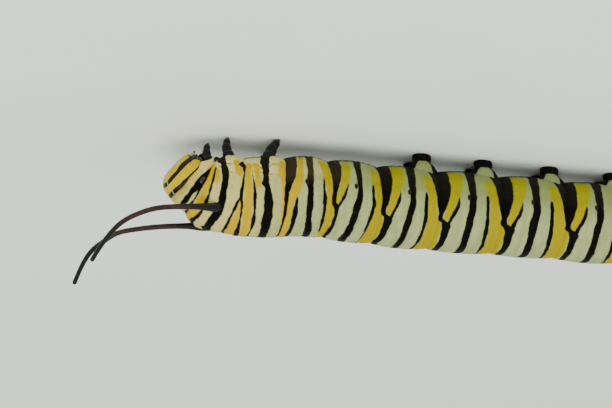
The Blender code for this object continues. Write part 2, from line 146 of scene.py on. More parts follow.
def hide_radius(place, angle):
    """The radius of the body, with the folds between its rings and the fine furrows across each of them."""
    index = np.clip(np.floor(place).astype(int), 0, LAST)
    share = place - index
    on_back = (1 + np.cos(angle)) / 2
    ahead = belly_folds[index] * (1 - on_back) + back_folds[index] * on_back
    after = belly_folds[index + 1] * (1 - on_back) + back_folds[index + 1] * on_back
    fold = ahead * (1 - share) + after * share
    round_top = fold + np.maximum(swells[index] - fold, 0) * (1 - np.abs(2 * share - 1) ** 2.4)
    to_fold = np.minimum(share, 1 - share) * lengths[index]
    crease = FOLD_DEPTH * hump(to_fold, FOLD_WIDTH) * (place > 0.5)
    furrows = sum(depth * hump((share - at) * lengths[index], FURROW_WIDTH) for at, depth in FURROWS)
    furrows = furrows + thorax_creases(place, angle)
    turned = np.abs(angle)
    cheek = 0.07 * hump(turned - math.radians(118), 0.16) * (place > 1)
    groove = 0.05 * hump(turned - math.radians(103), 0.10) * (place > 1)
    tucked = (1 - soft_step(0.45, 1.05, np.abs(angle + HEAD_ROLL))) * (1 - soft_step(0.22, 0.50, place))
    round_top = round_top * (1 - 0.14 * tucked)
    for centre, turn, height, length, width in LEG_LOBES:
        reach = (behind_neck(place) - behind_neck(centre)) / length
        round_top = round_top + height * np.exp(-reach**2 - ((turned - math.radians(turn)) / width) ** 2)
    return round_top - crease - furrows * (place < LAST) + (cheek - groove) * (1 - np.abs(2 * share - 1) ** 4)


def hide_point(place, angle, pushed_out=0.0, scale=1.0):
    """A point of the hide in millimetres, with the angle from the middle of the back to the left."""
    place, angle = np.broadcast_arrays(np.asarray(place, float), np.asarray(angle, float))
    _, left, up = directions(place)
    radius = hide_radius(place, angle) * scale + pushed_out
    rise = np.cos(angle)
    rise = np.where(rise < 0, rise * BELLY_SQUEEZE, rise)
    return (axis_of_body(place) + left * (np.sin(angle) * radius)[..., None]
            + up * (rise * radius)[..., None] - ORIGIN)


def middle_point(place):
    """The middle of the body at a place, in millimetres."""
    return axis_of_body(place) - ORIGIN


def read_points(piece):
    points = np.empty(len(piece.data.vertices) * 3)
    piece.data.vertices.foreach_get("co", points)
    return points.reshape(-1, 3)


def write_points(piece, points):
    piece.data.vertices.foreach_set("co", np.asarray(points, float).ravel())
    piece.data.update()


def store(piece, name, values):
    """Keeps a number for each point of the piece, for its material to read."""
    made = piece.data.attributes.new(name, "FLOAT", "POINT")
    made.data.foreach_set("value", np.asarray(values, np.float32))


AROUND = 144
ALONG = (20, 44, 50, 46, 44, 46, 46, 46, 42, 40, 36, 24, 36)  # rows of faces on each ring
INTO_NECK = (-0.30, -0.22, -0.15, -0.08)  # rows that close the sheet inside the head
NECK_DEPTH = 0.55
TAIL_POWER = 2.6  # how bluntly the last ring is rounded off

places = np.concatenate([np.arange(rows) / rows + index for index, rows in enumerate(ALONG)] + [[LAST + 1]])
places = np.concatenate((INTO_NECK, places))


def take_up(*pieces):
    """Selects these pieces and nothing else, with the first of them active."""
    bpy.ops.object.select_all(action="DESELECT")
    for piece in pieces:
        piece.select_set(True)
        bpy.context.view_layer.objects.active = pieces[0]


take_up()
bpy.ops.mesh.primitive_grid_add(x_subdivisions=len(places) - 1, y_subdivisions=AROUND, size=1)
skin = bpy.context.object
skin.name = "skin"


def places_and_angles():
    """The place and the angle of each point of the flat sheet."""
    flat = read_points(skin)
    place = np.interp(flat[:, 0], np.linspace(-0.5, 0.5, len(places)), places)
    return place, np.clip(flat[:, 1], -0.5, 0.5) * 2 * math.pi


# The fleshy legs: four pairs under the middle rings and the claspers at the rear, soft black stumps with flat
# pads and a pale shield on the outer side. Each is pulled out of the hide, which has finer faces there.
PROLEG_STEPS = (0.00, 0.22, 0.34, 0.46, 0.56, 0.68, 0.76, 0.88, 1.00)  # from the edge of the root to the sole
PROLEG_HEIGHTS = (1.20, 0.86, 0.72, 0.52, 0.34, 0.12, 0.03, 0.00, 0.00)
PROLEG_LENGTHS = (1.25, 0.90, 0.74, 0.60, 0.66, 0.66, 0.60, 0.34, 0.00)
PROLEG_WIDTHS = (1.00, 0.72, 0.58, 0.48, 0.51, 0.50, 0.44, 0.24, 0.00)
ROOT_LENGTH, ROOT_WIDTH, ROOT_EDGE = 0.96, 0.77, 1.30
FOOT_TOP = 1.85  # the height from which a clasper leans back
SHIELD_TURN, SHIELD_HALF, SHIELD_FOOT, SHIELD_CORNER = -4, 34, 0.60, 0.16
PER_DEGREE = 0.011  # millimetres of the leg's side in one degree round it
prolegs = [(index + share, sign * 0.97, 0.0) for index, share in ((5, 0.79), (6, 0.79), (7, 0.83), (8, 0.85))
           for sign in (-1, 1)]  # the place, how far out to its side, how far its foot leans back
prolegs += [(LAST + 0.50, sign * 0.90, 0.50) for sign in (-1, 1)]


def leg_steps(place, angle):
    """For each leg, how far points lie from its root's edge (0) to its foot's middle (1), and which way."""
    rows = []
    for centre, side, _ in prolegs:
        along = behind_neck(centre) - behind_neck(place)
        radius = hide_radius(centre, math.pi)
        middle = math.copysign(math.pi - math.asin(abs(side) / radius), side)
        turn = np.where(np.sign(angle) == np.sign(side), angle, angle + 2 * math.pi * np.sign(side))
        across = (turn - middle) * radius * -1
        reach = np.hypot(along / ROOT_LENGTH, across / ROOT_WIDTH)
        rows.append((np.clip(1 - reach / ROOT_EDGE, 0, 1), along / ROOT_LENGTH, across / ROOT_WIDTH, reach))
    return rows


near_leg = np.max([row[0] for row in leg_steps(*places_and_angles())], 0) > 0
bpy.ops.object.mode_set(mode="EDIT")
bpy.ops.mesh.select_mode(type="VERT")
bpy.ops.mesh.select_all(action="DESELECT")
bpy.ops.object.mode_set(mode="OBJECT")
skin.data.vertices.foreach_set("select", near_leg)
bpy.ops.object.mode_set(mode="EDIT")
bpy.ops.mesh.select_mode(type="FACE")
bpy.ops.mesh.subdivide(number_cuts=1)
bpy.ops.object.mode_set(mode="OBJECT")

place_of, angle_of = places_and_angles()
inside = np.clip(place_of / INTO_NECK[0], 0, 1)
closing = np.sqrt(np.maximum(1 - np.clip(place_of - LAST, 0, 1) ** TAIL_POWER, 0))
scale = closing * (1 - 0.5 * inside)
scale[place_of <= INTO_NECK[0] + 0.001] = 0
body = hide_point(np.maximum(place_of, 0), angle_of, 0.0, scale)
body += directions(0.0)[0] * (inside * NECK_DEPTH)[:, None]
on_last = (place_of - LAST) * lengths[LAST]  # how far behind the front of the last ring


def above_plate_edge(points):
    """How far points of the last ring lie above the lower edge of the hard plate over the tail."""
    rise = points[:, 2] - axis_of_body(np.maximum(place_of, 0))[:, 2]
    return np.where(on_last > 0, (rise - 0.62 + 0.58 * (on_last - 1.05)) / 1.156, -1.0)


plate_front = on_last - 0.66 - 0.10 * (1 - np.cos(angle_of))
from_tail = body - middle_point(LAST + 0.5)
from_tail /= np.linalg.norm(from_tail, axis=1)[:, None]
step_up = soft_step(-0.03, 0.06, np.minimum(above_plate_edge(body), plate_front))
body += from_tail * (0.06 * step_up)[:, None]

sleeve = np.full(len(body), -1.0)  # how deep a point lies in the black sleeve of a fleshy leg
shield = np.full(len(body), -1.0)  # and in the pale shield on its outer side, in millimetres
for (centre, side, lean), (step, along, across, reach) in zip(prolegs, leg_steps(place_of, angle_of)):
    axis = middle_point(centre)
    height, length, width = (np.interp(step, PROLEG_STEPS, row)
                             for row in (PROLEG_HEIGHTS, PROLEG_LENGTHS, PROLEG_WIDTHS))
    turn_x, turn_y = along / np.maximum(reach, 1e-6), across / np.maximum(reach, 1e-6)
    target = np.stack((axis[0] - lean * (1 - height / FOOT_TOP) + turn_x * length,
                       axis[1] + side + turn_y * width,
                       height), -1)
    weight = soft_step(0.0, 0.26, step)[:, None]
    body = body * (1 - weight) + target * weight
    outwards = np.degrees(np.arctan2(-turn_x, turn_y * math.copysign(1, side)))
    on_side = (SHIELD_HALF - np.abs(outwards - SHIELD_TURN)) * PER_DEGREE
    in_front = np.minimum(-38 - outwards, outwards + 160) * PER_DEGREE
    on_leg = (1.28 - reach) * 0.9
    sleeve = np.maximum(sleeve, np.minimum(on_leg, np.maximum(1.06 - height, in_front)))
    above = height - SHIELD_FOOT
    corner = np.hypot(np.maximum(SHIELD_CORNER - on_side, 0), np.maximum(SHIELD_CORNER - above, 0))
    rounded = np.maximum(SHIELD_CORNER, np.minimum(on_side, above)) - corner
    shield = np.maximum(shield, np.minimum(rounded, on_leg))
write_points(skin, body * MM)

# The bands: each ring has rings of black and yellow in the pale skin, which fork and lean down the sides.
# They are painted from rows of the angle from the back and a band's front and rear edge, in hundredths of
# the ring's length, and the middle rings of the abdomen share one set.
BLACK_BANDS = {
    0: [((0, 52, 62), (20, 53, 78), (35, 55, 84), (50, 57, 90), (62, 60, 100), (75, 58, 102),
        (90, 62, 100), (102, 76, 100), (112, 92, 100), (120, 99, 97)),
        ((0, 92, 101), (15, 94, 103), (40, 98, 109), (70, 98, 112), (95, 96, 108), (112, 94, 102),
        (120, 100, 97))],
    1: [((0, 10, 19), (20, 17, 23), (40, 22, 28), (60, 22, 28), (75, 20.5, 26), (90, 17.5, 23),
        (103, 14, 19), (112, 12, 16), (117, 13, 11)),
        ((0, 33, 52), (20, 39, 55), (35, 43, 62), (55, 46, 66), (72, 45, 62), (90, 41, 59), (105, 33, 54),
        (115, 25, 45), (125, 10, 38), (140, 5, 34), (165, 2, 34), (180, 2, 34)),
        ((0, 75, 81), (20, 78, 84), (40, 82, 89), (58, 88, 96), (70, 94, 101), (90, 95, 101),
        (115, 94, 101), (124, 84, 100), (130, 90, 98), (136, 98, 96)),
        ((116, 92, 90), (120, 78, 98), (123, 84, 98), (127, 92, 96), (131, 95, 93))],
    2: [((-30, 2, 13), (0, 2, 13), (20, 3.5, 11), (40, 3, 8), (60, 1, 6), (72, -2, 3), (80, -3, 0)),
        ((0, 28, 34), (20, 30, 36), (35, 29.5, 37), (55, 27, 34.5), (72, 24, 31.5), (84, 21.5, 28.5),
        (98, 18, 22.5), (110, 17.5, 19), (114, 18, 17)),
        ((0, 52, 71), (20, 51, 71), (40, 50, 72), (58, 49, 70), (70, 47, 66), (84, 46, 60), (89, 38, 57.5),
        (94, 42, 57), (110, 41, 56), (120, 38, 57), (130, 36, 59), (140, 40, 62), (160, 40, 66),
        (180, 40, 66)),
        ((0, 93, 98), (30, 93, 99), (60, 94, 100), (80, 92, 100), (100, 95, 100), (125, 97, 100),
        (180, 90, 100))],
    3: [((60, 0, 1), (75, 0, 3), (90, 0, 11), (105, 0, 18), (120, 0, 21), (140, 0, 24), (180, 0, 26)),
        ((0, 12, 22), (20, 13, 23), (45, 14, 25), (58, 15, 24.5), (66, 17.5, 24), (71, 22, 20)),
        ((0, 50, 66), (20, 47.5, 64), (40, 43.5, 58.5), (60, 42, 55), (78, 41, 55), (88, 37.5, 55),
        (95, 38.5, 55), (103, 41, 56), (112, 40.5, 56.5), (120, 40, 56), (140, 43, 60), (180, 46, 64)),
        ((6, 84, 82), (15, 80, 84), (35, 78.5, 85.5), (55, 77.5, 86), (70, 75.5, 84.5), (82, 74.5, 80),
        (98, 76, 78.5), (103, 78, 77)),
        ((60, 102, 100), (75, 98, 100), (90, 96, 100), (105, 94, 100), (120, 92, 100), (180, 86, 100))],
    4: [((0, 6, 13), (20, 6, 14), (40, 6, 13), (54, 3, 11.5), (62, 0, 10.5), (64, 0, 5), (75, 0, 4.5),
        (90, 0, 10), (105, 0, 14), (120, 0, 16), (180, 0, 22)),
        ((56, 10, 10), (60, 7.5, 13), (70, 13.5, 20), (80, 19.5, 24.5), (90, 24, 27.5), (96, 28, 27)),
        ((0, 36, 52), (20, 37, 52), (40, 37, 52), (60, 38, 53), (76, 43, 55.5), (105, 44, 56),
        (120, 41, 54), (140, 44, 58), (180, 46, 64)),
        ((0, 74, 77), (20, 74, 78), (40, 72.5, 79), (58, 74, 81), (70, 75.5, 83), (80, 73.5, 80),
        (95, 73.5, 79), (99, 77, 76)),
        ((56, 102, 100), (64, 98, 100), (90, 94, 100), (105, 92.5, 100), (120, 90, 100), (180, 84, 100))],
    5: [((0, 5.5, 15.5), (20, 6, 16.5), (40, 4.5, 16.5), (52, 2, 17), (58, -2, 5), (75, 0, 7.5),
        (90, 0, 11.5), (105, 0, 14), (120, 0, 14), (180, 0, 20)),
        ((48, 12, 11), (53, 10, 17), (60, 13, 19.5), (70, 18, 24.5), (80, 22, 27.5), (90, 25.5, 27.5),
        (94, 27, 26)),
        ((0, 40.5, 52.5), (20, 40, 51.5), (40, 39, 50.5), (60, 39, 51.5), (75, 42, 54), (105, 41.5, 54),
        (120, 40, 54), (140, 42, 58), (180, 44, 62)),
        ((0, 73, 78), (20, 72, 78.5), (45, 70.5, 77.5), (60, 70, 76), (75, 69, 75), (92, 69, 74),
        (98, 72, 71)),
        ((50, 102, 100), (60, 97, 100), (75, 92, 100), (90, 89.5, 100), (105, 87.5, 100), (120, 84, 100),
        (180, 80, 100))],
}
YELLOW_BANDS = {
    0: [((102, 86, 84), (108, 80, 97), (115, 86, 100), (120, 95, 93))],
    1: [((0, 0, 10), (15, 2, 16), (35, 5, 21), (55, 6, 22), (72, 5.5, 21), (90, 4, 18.5), (105, 1.5, 15),
        (118, -1, 9), (126, 0, -2)),
        ((80, 33, 31), (87, 25, 38), (95, 21.5, 35.5), (105, 17, 30), (112, 16, 14)),
        ((96, 97, 95), (106, 76, 96), (116, 66, 95), (124, 62, 88), (130, 80, 78)),
        ((0, 81, 100), (20, 84, 100), (40, 89, 100), (58, 96, 100), (68, 100, 98))],
    2: [((0, 13, 28), (20, 12, 30), (40, 8.5, 29), (58, 6, 27), (75, 3, 23.5), (90, 1.5, 20),
        (105, 1, 16.5), (122, 1, 17), (130, 5, 4)),
        ((0, 0, 2), (40, 0, 3.5), (60, 0, 0)),
        ((80, 30, 28), (88, 26, 40), (100, 24, 37), (112, 20, 36), (122, 20, 32), (128, 20, 18)),
        ((22, 94, 92), (35, 90, 94), (60, 89.5, 94.5), (76, 87, 93), (90, 84, 95), (104, 80, 96),
        (122, 79, 98.5), (132, 88, 86))],
    3: [((0, -2, 12), (20, -1, 13), (45, 0, 14), (60, 1, 16), (68, 2, 20), (75, 3, 26), (90, 11, 31),
        (105, 18, 33.5), (120, 21, 35.5), (136, 24, 38), (146, 30, 28)),
        ((0, 82, 97), (15, 82, 99), (35, 84.5, 100), (55, 85, 100), (75, 83, 100), (90, 79, 98.5),
        (105, 75, 96.5), (120, 70, 92), (130, 68, 88), (138, 76, 74))],
    4: [((-10, -2, 6), (0, -2, 6), (40, -1, 6), (54, 0, 3), (60, 2, 0)),
        ((60, 4, 2), (64, 3, 9), (70, 4, 14), (80, 6, 21), (90, 9, 25), (100, 12, 28.5), (115, 15.5, 31.5),
        (130, 18, 33), (142, 24, 22)),
        ((0, 76.5, 100), (20, 77, 100), (40, 78.5, 100), (58, 81, 99.5), (75, 81.5, 97.5), (90, 79, 95),
        (105, 73.5, 92.5), (118, 72, 90), (130, 78, 76))],
    5: [((0, -2, 5), (40, -1, 4.5), (52, -1, 2), (56, 0, -1)),
        ((53, 6, 5), (57, 3, 12), (66, 5, 18), (75, 6.5, 22), (90, 10, 27), (105, 12.5, 32),
        (120, 12, 34.5), (134, 13, 37), (146, 26, 24)),
        ((0, 78, 100), (30, 78.5, 100), (45, 77.5, 99), (60, 76.5, 95.5), (75, 75.5, 92), (90, 74.5, 90),
        (105, 70, 87), (116, 68, 85), (128, 76, 74))],
    11: [((0, 6, 30), (60, 6, 30), (110, 8, 30), (130, 20, 18)),
        ((0, 76, 98), (60, 76, 98), (110, 78, 96), (130, 90, 88))],
    12: [((0, -2, 16), (50, 0, 20), (90, 0, 34), (115, 2, 42), (135, 20, 18))],
}
BLACK_BANDS[11] = [((0, 0, 6), (90, 0, 7), (180, 0, 10)),
                   ((0, 36, 58), (60, 36, 58), (110, 36, 56), (180, 30, 60))]
for index in (6, 7, 8, 9, 10):
    BLACK_BANDS[index] = BLACK_BANDS[5]
    YELLOW_BANDS[index] = YELLOW_BANDS[5]
BACK_SHIFTS = {4: -0.085, 5: -0.06, 6: 0.0, 7: 0.01}  # how far the bands of a ring lie back over the back
SHIFT_ENDS = 55  # the turn at which that ends
BLUNTNESS = 0.045  # how fast a band closes beyond the ends of its rows


def band_depth(table, place, angle):
    """How deep each point lies inside the nearest band, in millimetres; less than 0 is outside."""
    depth = np.full(len(place), -1.0)
    degrees = np.degrees(np.abs(angle))
    for index, rows in table.items():
        shift = BACK_SHIFTS.get(index, 0.0) * np.clip(1 - degrees / SHIFT_ENDS, 0, 1)
        share = (behind_neck(place) - borders[index]) / lengths[index] - shift
        near = (share > -0.3) & (share < 1.3)
        for row in rows:
            turns = [step[0] for step in row]
            front, rear = (curve(turns, [step[column] / 100 for step in row], degrees[near])
                           for column in (1, 2))
            front = front - 0.03 * (1 - soft_step(0.0, 0.02, front))  # a band that reaches a fold crosses it
            rear = rear + 0.03 * soft_step(0.98, 1.0, rear)
            inside = np.minimum(share[near] - front, rear - share[near]) * lengths[index]
            beyond = np.maximum(turns[0] - degrees[near], degrees[near] - turns[-1])
            limit = np.where((beyond > 0) & ((turns[0] > 0) | (degrees[near] > turns[-1])),
                             -BLUNTNESS * beyond, 1.0)
            depth[near] = np.maximum(depth[near], np.minimum(inside, limit))
    return depth


plate = np.minimum(above_plate_edge(body), plate_front)
under_tail = np.where(on_last > 0, np.minimum(-0.26 - above_plate_edge(body), on_last - 1.12), -1.0)
from_middle = np.abs(body[:, 1] - middle_point(LAST + 1.0)[1])
tail_tip = np.minimum(0.62 - from_middle, on_last - 1.70)
store(skin, "black", np.max([band_depth(BLACK_BANDS, place_of, angle_of), plate, under_tail, tail_tip], 0))
store(skin, "yellow", band_depth(YELLOW_BANDS, place_of, angle_of))
store(skin, "turn", np.abs(angle_of) / math.pi)
store(skin, "place", place_of)
store(skin, "crease", thorax_creases(np.maximum(place_of, 0), angle_of))
store(skin, "sleeve", sleeve)
store(skin, "shield", shield)


def close_up(gap=None):
    """Merges doubles of the active piece within a gap, turns its faces outwards and shades it smooth."""
    bpy.ops.object.mode_set(mode="EDIT")
    bpy.ops.mesh.select_mode(type="VERT")
    bpy.ops.mesh.select_all(action="SELECT")
    if gap:
        bpy.ops.mesh.remove_doubles(threshold=gap)
    bpy.ops.mesh.normals_make_consistent(inside=False)
    bpy.ops.object.mode_set(mode="OBJECT")
    bpy.ops.object.shade_smooth()


close_up(0.000002)


# The finish of the hide: dull, fine-grained living skin. Its pale ground is warmer on the thorax, the yellows
# are strongest inside their bands, and the black is brown in the front folds. Down the lower sides of the
# abdomen the pale and the yellows are painted darker and greener, as painted shade and a painted green
# reflection, and the pale is painted brown in the creases of the thorax as painted shade.
class Finish:
    """A material and short ways to add and join its nodes."""

    def __init__(self, name, roughness, gloss=0.5):
        self.material = bpy.data.materials.new(name)
        self.material.use_nodes = True
        self.tree = self.material.node_tree
        self.shader = self.tree.nodes["Principled BSDF"]
        self.shader.inputs["Roughness"].default_value = roughness
        self.shader.inputs["Specular IOR Level"].default_value = gloss
        self.place = self.node("TexCoord", {}).outputs["Object"]

    def put(self, socket, value):
        """Joins a node to a socket, or sets the socket to a number, a vector or a colour."""
        if isinstance(value, bpy.types.NodeSocket):
            self.tree.links.new(value, socket)
        elif isinstance(value, tuple):
            socket.default_value = (*value, 1.0)[:len(socket.default_value)]
        else:
            socket.default_value = value

    def node(self, kind, inputs, **settings):
        made = self.tree.nodes.new("ShaderNode" + kind)
        for name, value in settings.items():
            setattr(made, name, value)
        for name, value in inputs.items():
            self.put(made.inputs[name], value)
        return made

    def read(self, name):
        return self.node("Attribute", {}, attribute_name=name).outputs["Fac"]

    def noise(self, scale, detail=3.0, roughness=0.55, stretch=None):
        place = self.place
        if stretch:
            place = self.node("Mapping", {"Vector": place, "Scale": stretch}).outputs["Vector"]
        settings = {"Vector": place, "Scale": scale, "Detail": detail, "Roughness": roughness}
        return self.node("TexNoise", settings).outputs["Fac"]

    def math(self, operation, first, *others):
        for other in others:
            first = self.node("Math", {0: first, 1: other}, operation=operation).outputs["Value"]
        return first

    def plus(self, *values):
        return self.math("ADD", *values)

    def times(self, *values):
        return self.math("MULTIPLY", *values)

    def uneven(self, scale, detail, spread):
        """Noise that swings about nothing."""
        return self.times(self.math("SUBTRACT", self.noise(scale, detail), 0.5), spread)

    def ramp(self, value, low, high, to_low=0.0, to_high=1.0):
        settings = {"Value": value, "From Min": low, "From Max": high, "To Min": to_low, "To Max": to_high}
        return self.node("MapRange", settings, interpolation_type="SMOOTHSTEP").outputs["Result"]

    def mix(self, share, first, second):
        return self.node("Mix", {0: share, 6: first, 7: second}, data_type="RGBA").outputs[2]

    def blotches(self, scale, detail, low, high, first, second, roughness=0.55):
        """Soft blotches of a second colour in a first."""
        return self.mix(self.ramp(self.noise(scale, detail, roughness), low, high), first, second)

    def colour(self, value):
        self.put(self.shader.inputs["Base Color"], value)

    def relief(self, *layers):
        """Fine relief from layers of noise: the noise's settings, its height in metres and its strength."""
        under = None
        for settings, height, strength in layers:
            bump = self.node("Bump", {"Strength": strength, "Distance": height,
                                      "Height": self.noise(*settings)})
            if under:
                self.put(bump.inputs["Normal"], under)
            under = bump.outputs["Normal"]
        self.put(self.shader.inputs["Normal"], under)


CREAM = (0.355, 0.395, 0.155)
GREENISH = (0.29, 0.355, 0.135)
STREAKS = (0.47, 0.47, 0.26)
WARM_CREAM = (0.64, 0.575, 0.19)
MOTTLE = (0.56, 0.42, 0.12)
LOW_THORAX = (0.86, 0.70, 0.25)
# Painted shade with a painted green reflection, for the lower sides of the abdomen:
PAINTED_SHADE_PALE = (0.205, 0.245, 0.082)
PAINTED_SHADE_YELLOW = (0.30, 0.265, 0.0005)
SPECKLE = (0.36, 0.33, 0.17)
# Painted shade for the creases of the thorax:
PAINTED_CREASE_SHADE = (0.13, 0.10, 0.035)
BRIGHT_YELLOW = (0.54, 0.35, 0.0003)
DEEP_YELLOW = (0.36, 0.285, 0.0004)
PALE_YELLOW = (0.58, 0.43, 0.04)
REAR_YELLOW = (0.40, 0.34, 0.05)
BELLY_GREY = (0.055, 0.052, 0.038)
SHIELD_GREY = (0.36, 0.37, 0.24)
SLEEVE_BLACK = (0.004, 0.004, 0.0035)
INK = (0.0025, 0.0025, 0.002)
UMBER = (0.032, 0.022, 0.011)
SOOT = (0.008, 0.006, 0.004)
hide = Finish("hide", 0.46, 0.03)
place = hide.read("place")
turn = hide.read("turn")
swell = hide.uneven(1000, 2, 0.20)
black = hide.ramp(hide.plus(hide.read("black"), hide.uneven(3200, 3, 0.10), swell), -0.04, 0.045)
yellow_depth = hide.plus(hide.read("yellow"), hide.uneven(3900, 3, 0.16), swell)

pale = hide.blotches(700, 2, 0.35, 0.65, CREAM, GREENISH)
streaks = hide.ramp(hide.noise(1, 3, 0.6, (3400, 700, 700)), 0.40, 0.66)
pale = hide.mix(hide.times(streaks, 0.55), pale, STREAKS)
pale = hide.mix(hide.ramp(place, 3.6, 1.6, 0.0, 0.75), pale, WARM_CREAM)
collar = hide.times(hide.ramp(place, 0.62, 0.10), hide.ramp(turn, 0.62, 0.40, 0.30, 0.95))
pale = hide.mix(collar, pale, PALE_YELLOW)
mottle = hide.times(hide.ramp(hide.noise(2700, 4, 0.65), 0.46, 0.64), hide.ramp(place, 3.9, 2.4, 0.0, 0.6))
pale = hide.mix(mottle, pale, MOTTLE)
thorax = hide.ramp(place, 3.3, 2.0, 0.25, 0.6)
pale = hide.mix(hide.times(hide.ramp(turn, 0.46, 0.66), thorax), pale, LOW_THORAX)

rearwards = hide.ramp(place, 2.6, 4.6)
full_yellow = hide.mix(rearwards, BRIGHT_YELLOW, DEEP_YELLOW)
rich = hide.blotches(1100, 4, 0.46, 0.70, full_yellow, hide.mix(rearwards, PALE_YELLOW, REAR_YELLOW), 0.6)
rich = hide.mix(hide.ramp(yellow_depth, 0.0, 0.12, 0.0, 0.92), rich, full_yellow)
# Painted shade and a painted green reflection: the pale and the yellows turn darker and greener down the
# lower sides of the abdomen.
shade = hide.times(hide.ramp(turn, 0.34, 0.62), hide.ramp(place, 3.2, 5.0))
pale = hide.mix(hide.times(shade, 0.88), pale, PAINTED_SHADE_PALE)
rich = hide.mix(hide.times(shade, 0.80), rich, PAINTED_SHADE_YELLOW)
pale = hide.mix(hide.ramp(hide.noise(11000, 3), 0.58, 0.72, 0.0, 0.30), pale, SPECKLE)
# Painted shade: the pale turns brown where the creases of the thorax are deep.
pale = hide.mix(hide.ramp(hide.read("crease"), 0.016, 0.050, 0.0, 0.75), pale, PAINTED_CREASE_SHADE)

tint = hide.mix(hide.ramp(yellow_depth, -0.08, 0.07), pale, rich)
under = hide.ramp(hide.plus(turn, hide.times(hide.noise(900, 3), 0.10)), 0.80, 0.90)
tint = hide.mix(hide.times(under, 0.85), tint, BELLY_GREY)
browned = hide.times(hide.ramp(place, 2.6, 3.0), hide.ramp(place, 4.6, 3.7))
dark = hide.mix(hide.ramp(turn, 0.46, 0.60), INK, hide.mix(browned, SOOT, UMBER))
tint = hide.mix(black, tint, dark)
edge = hide.uneven(2600, 2, 0.08)
sleeve_share = hide.ramp(hide.plus(hide.read("sleeve"), edge), -0.02, 0.03)
shield_share = hide.ramp(hide.plus(hide.read("shield"), edge), -0.02, 0.03)
shield_tint = hide.mix(hide.ramp(hide.noise(1500, 3), 0.35, 0.65, 0.0, 0.25), pale, SHIELD_GREY)
tint = hide.mix(sleeve_share, tint, SLEEVE_BLACK)
hide.colour(hide.mix(shield_share, tint, shield_tint))
hide.put(hide.shader.inputs["Roughness"], hide.plus(hide.times(hide.noise(2600, 3), 0.16), 0.40))
hide.relief(((15000, 4, 0.6), 0.00002, 0.7),
            ((2400, 4, 0.6, (2.6, 0.8, 0.8)), 0.00012, 0.7),
            ((900, 3, 0.5, (1.8, 1, 1)), 0.00020, 0.5))
skin.data.materials.append(hide.material)

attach(skin, "root")
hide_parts(*[row[0] for row in RINGS_OF_BODY],
            *[f"proleg_{number}_{side}" for number in (3, 4, 5, 6) for side in ("right", "left")],
            "clasper_right", "clasper_left")

# The head capsule: one hard, faintly shiny shell, yellow with two black arches. It stands on the neck like
# a dome, deeper at the mouth than at the crown, and its rear rim covers the front of the first ring.
HEAD_DEPTH, HEAD_HALF_WIDTH, HEAD_HALF_HEIGHT = 1.24, 1.66, 1.62
FACE_JUT, CROWN_CLEFT, CLEFT_WIDTH = 0.38, 0.10, 0.16
FACE_FLAT, FLAT_FROM = 0.13, 0.64  # how much the middle of the face is flattened, and from where
FRONS_TOP, FRONS_FOOT, FRONS_HALF = 0.44, -0.66, 0.40  # the three-cornered plate in the middle of the face
REAR_RIM = ((0, 0.42), (30, 0.42), (45, 0.36), (60, 0.28), (75, 0.21), (90, 0.20), (105, 0.13), (120, 0.08),
            (140, 0.08), (180, 0.10))  # turn from the crown, and how far back the rim reaches in millimetres
INNER_ARCH = ((0, 61, 75), (30, 58, 73), (45, 56, 70), (60, 50, 68), (75, 47, 66), (90, 48, 67),
              (105, 52, 70), (118, 55, 82), (130, 58, 92), (145, 62, 99), (160, 66, 99),
              (180, 68, 100))  # turn, and how far its edges lie from the middle of the face in degrees
OUTER_ARCH = ((0, 0.12), (30, 0.13), (60, 0.11), (75, 0.09), (90, 0.07), (102, -0.04), (113, -0.16),
              (128, -0.26), (180, -0.44))  # turn, and the front edge behind the widest line in millimetres
forward_of_head, left_of_neck, up_of_neck = (Vector(row) for row in directions(0.0))
left_of_head = left_of_neck * math.cos(HEAD_ROLL) + up_of_neck * math.sin(HEAD_ROLL)
up_of_head = up_of_neck * math.cos(HEAD_ROLL) - left_of_neck * math.sin(HEAD_ROLL)
middle_of_head = Vector(middle_point(0.0)) + forward_of_head * 0.15
HEAD = np.array((forward_of_head, left_of_head, up_of_head))


def in_head(points):
    """Points given as forward, left and up in the head, in millimetres, carried to the model in metres."""
    return (np.array(middle_of_head) + np.asarray(points, float) @ HEAD) * MM


def face_point(side, height):
    """A point of the face in the head's own directions, from shares of its half sizes."""
    side, height = np.asarray(side, float), np.asarray(height, float)
    rise = np.sqrt(np.maximum(1 - side**2 - height**2, 0))
    dome = HEAD_DEPTH * rise - FACE_FLAT * (np.maximum(rise - FLAT_FROM, 0) / (1 - FLAT_FROM)) ** 1.5
    cleft = CROWN_CLEFT * np.maximum(height, 0) * hump(side, CLEFT_WIDTH)
    return np.stack((dome * (1 + FACE_JUT * np.maximum(-height, 0) - cleft), side * HEAD_HALF_WIDTH,
                     height * HEAD_HALF_HEIGHT), -1)


def ball(segments, rings, radius=1):
    bpy.ops.mesh.primitive_uv_sphere_add(segments=segments, ring_count=rings, radius=radius)
    return bpy.context.object


take_up()
capsule = ball(144, 110)
capsule.name = "head_capsule"
unit = read_points(capsule)
tilt = np.arccos(np.clip(unit[:, 2], -1, 1))  # from the middle of the face
swing = np.arctan2(unit[:, 0], unit[:, 1])  # from the crown towards the left
swing_degrees, tilt_degrees = np.degrees(np.abs(swing)), np.degrees(tilt)
reach = np.minimum(tilt, math.pi / 2)
side, height = np.sin(reach) * np.sin(swing), np.sin(reach) * np.cos(swing)
outward = np.stack((np.cos(reach), side, height), -1)

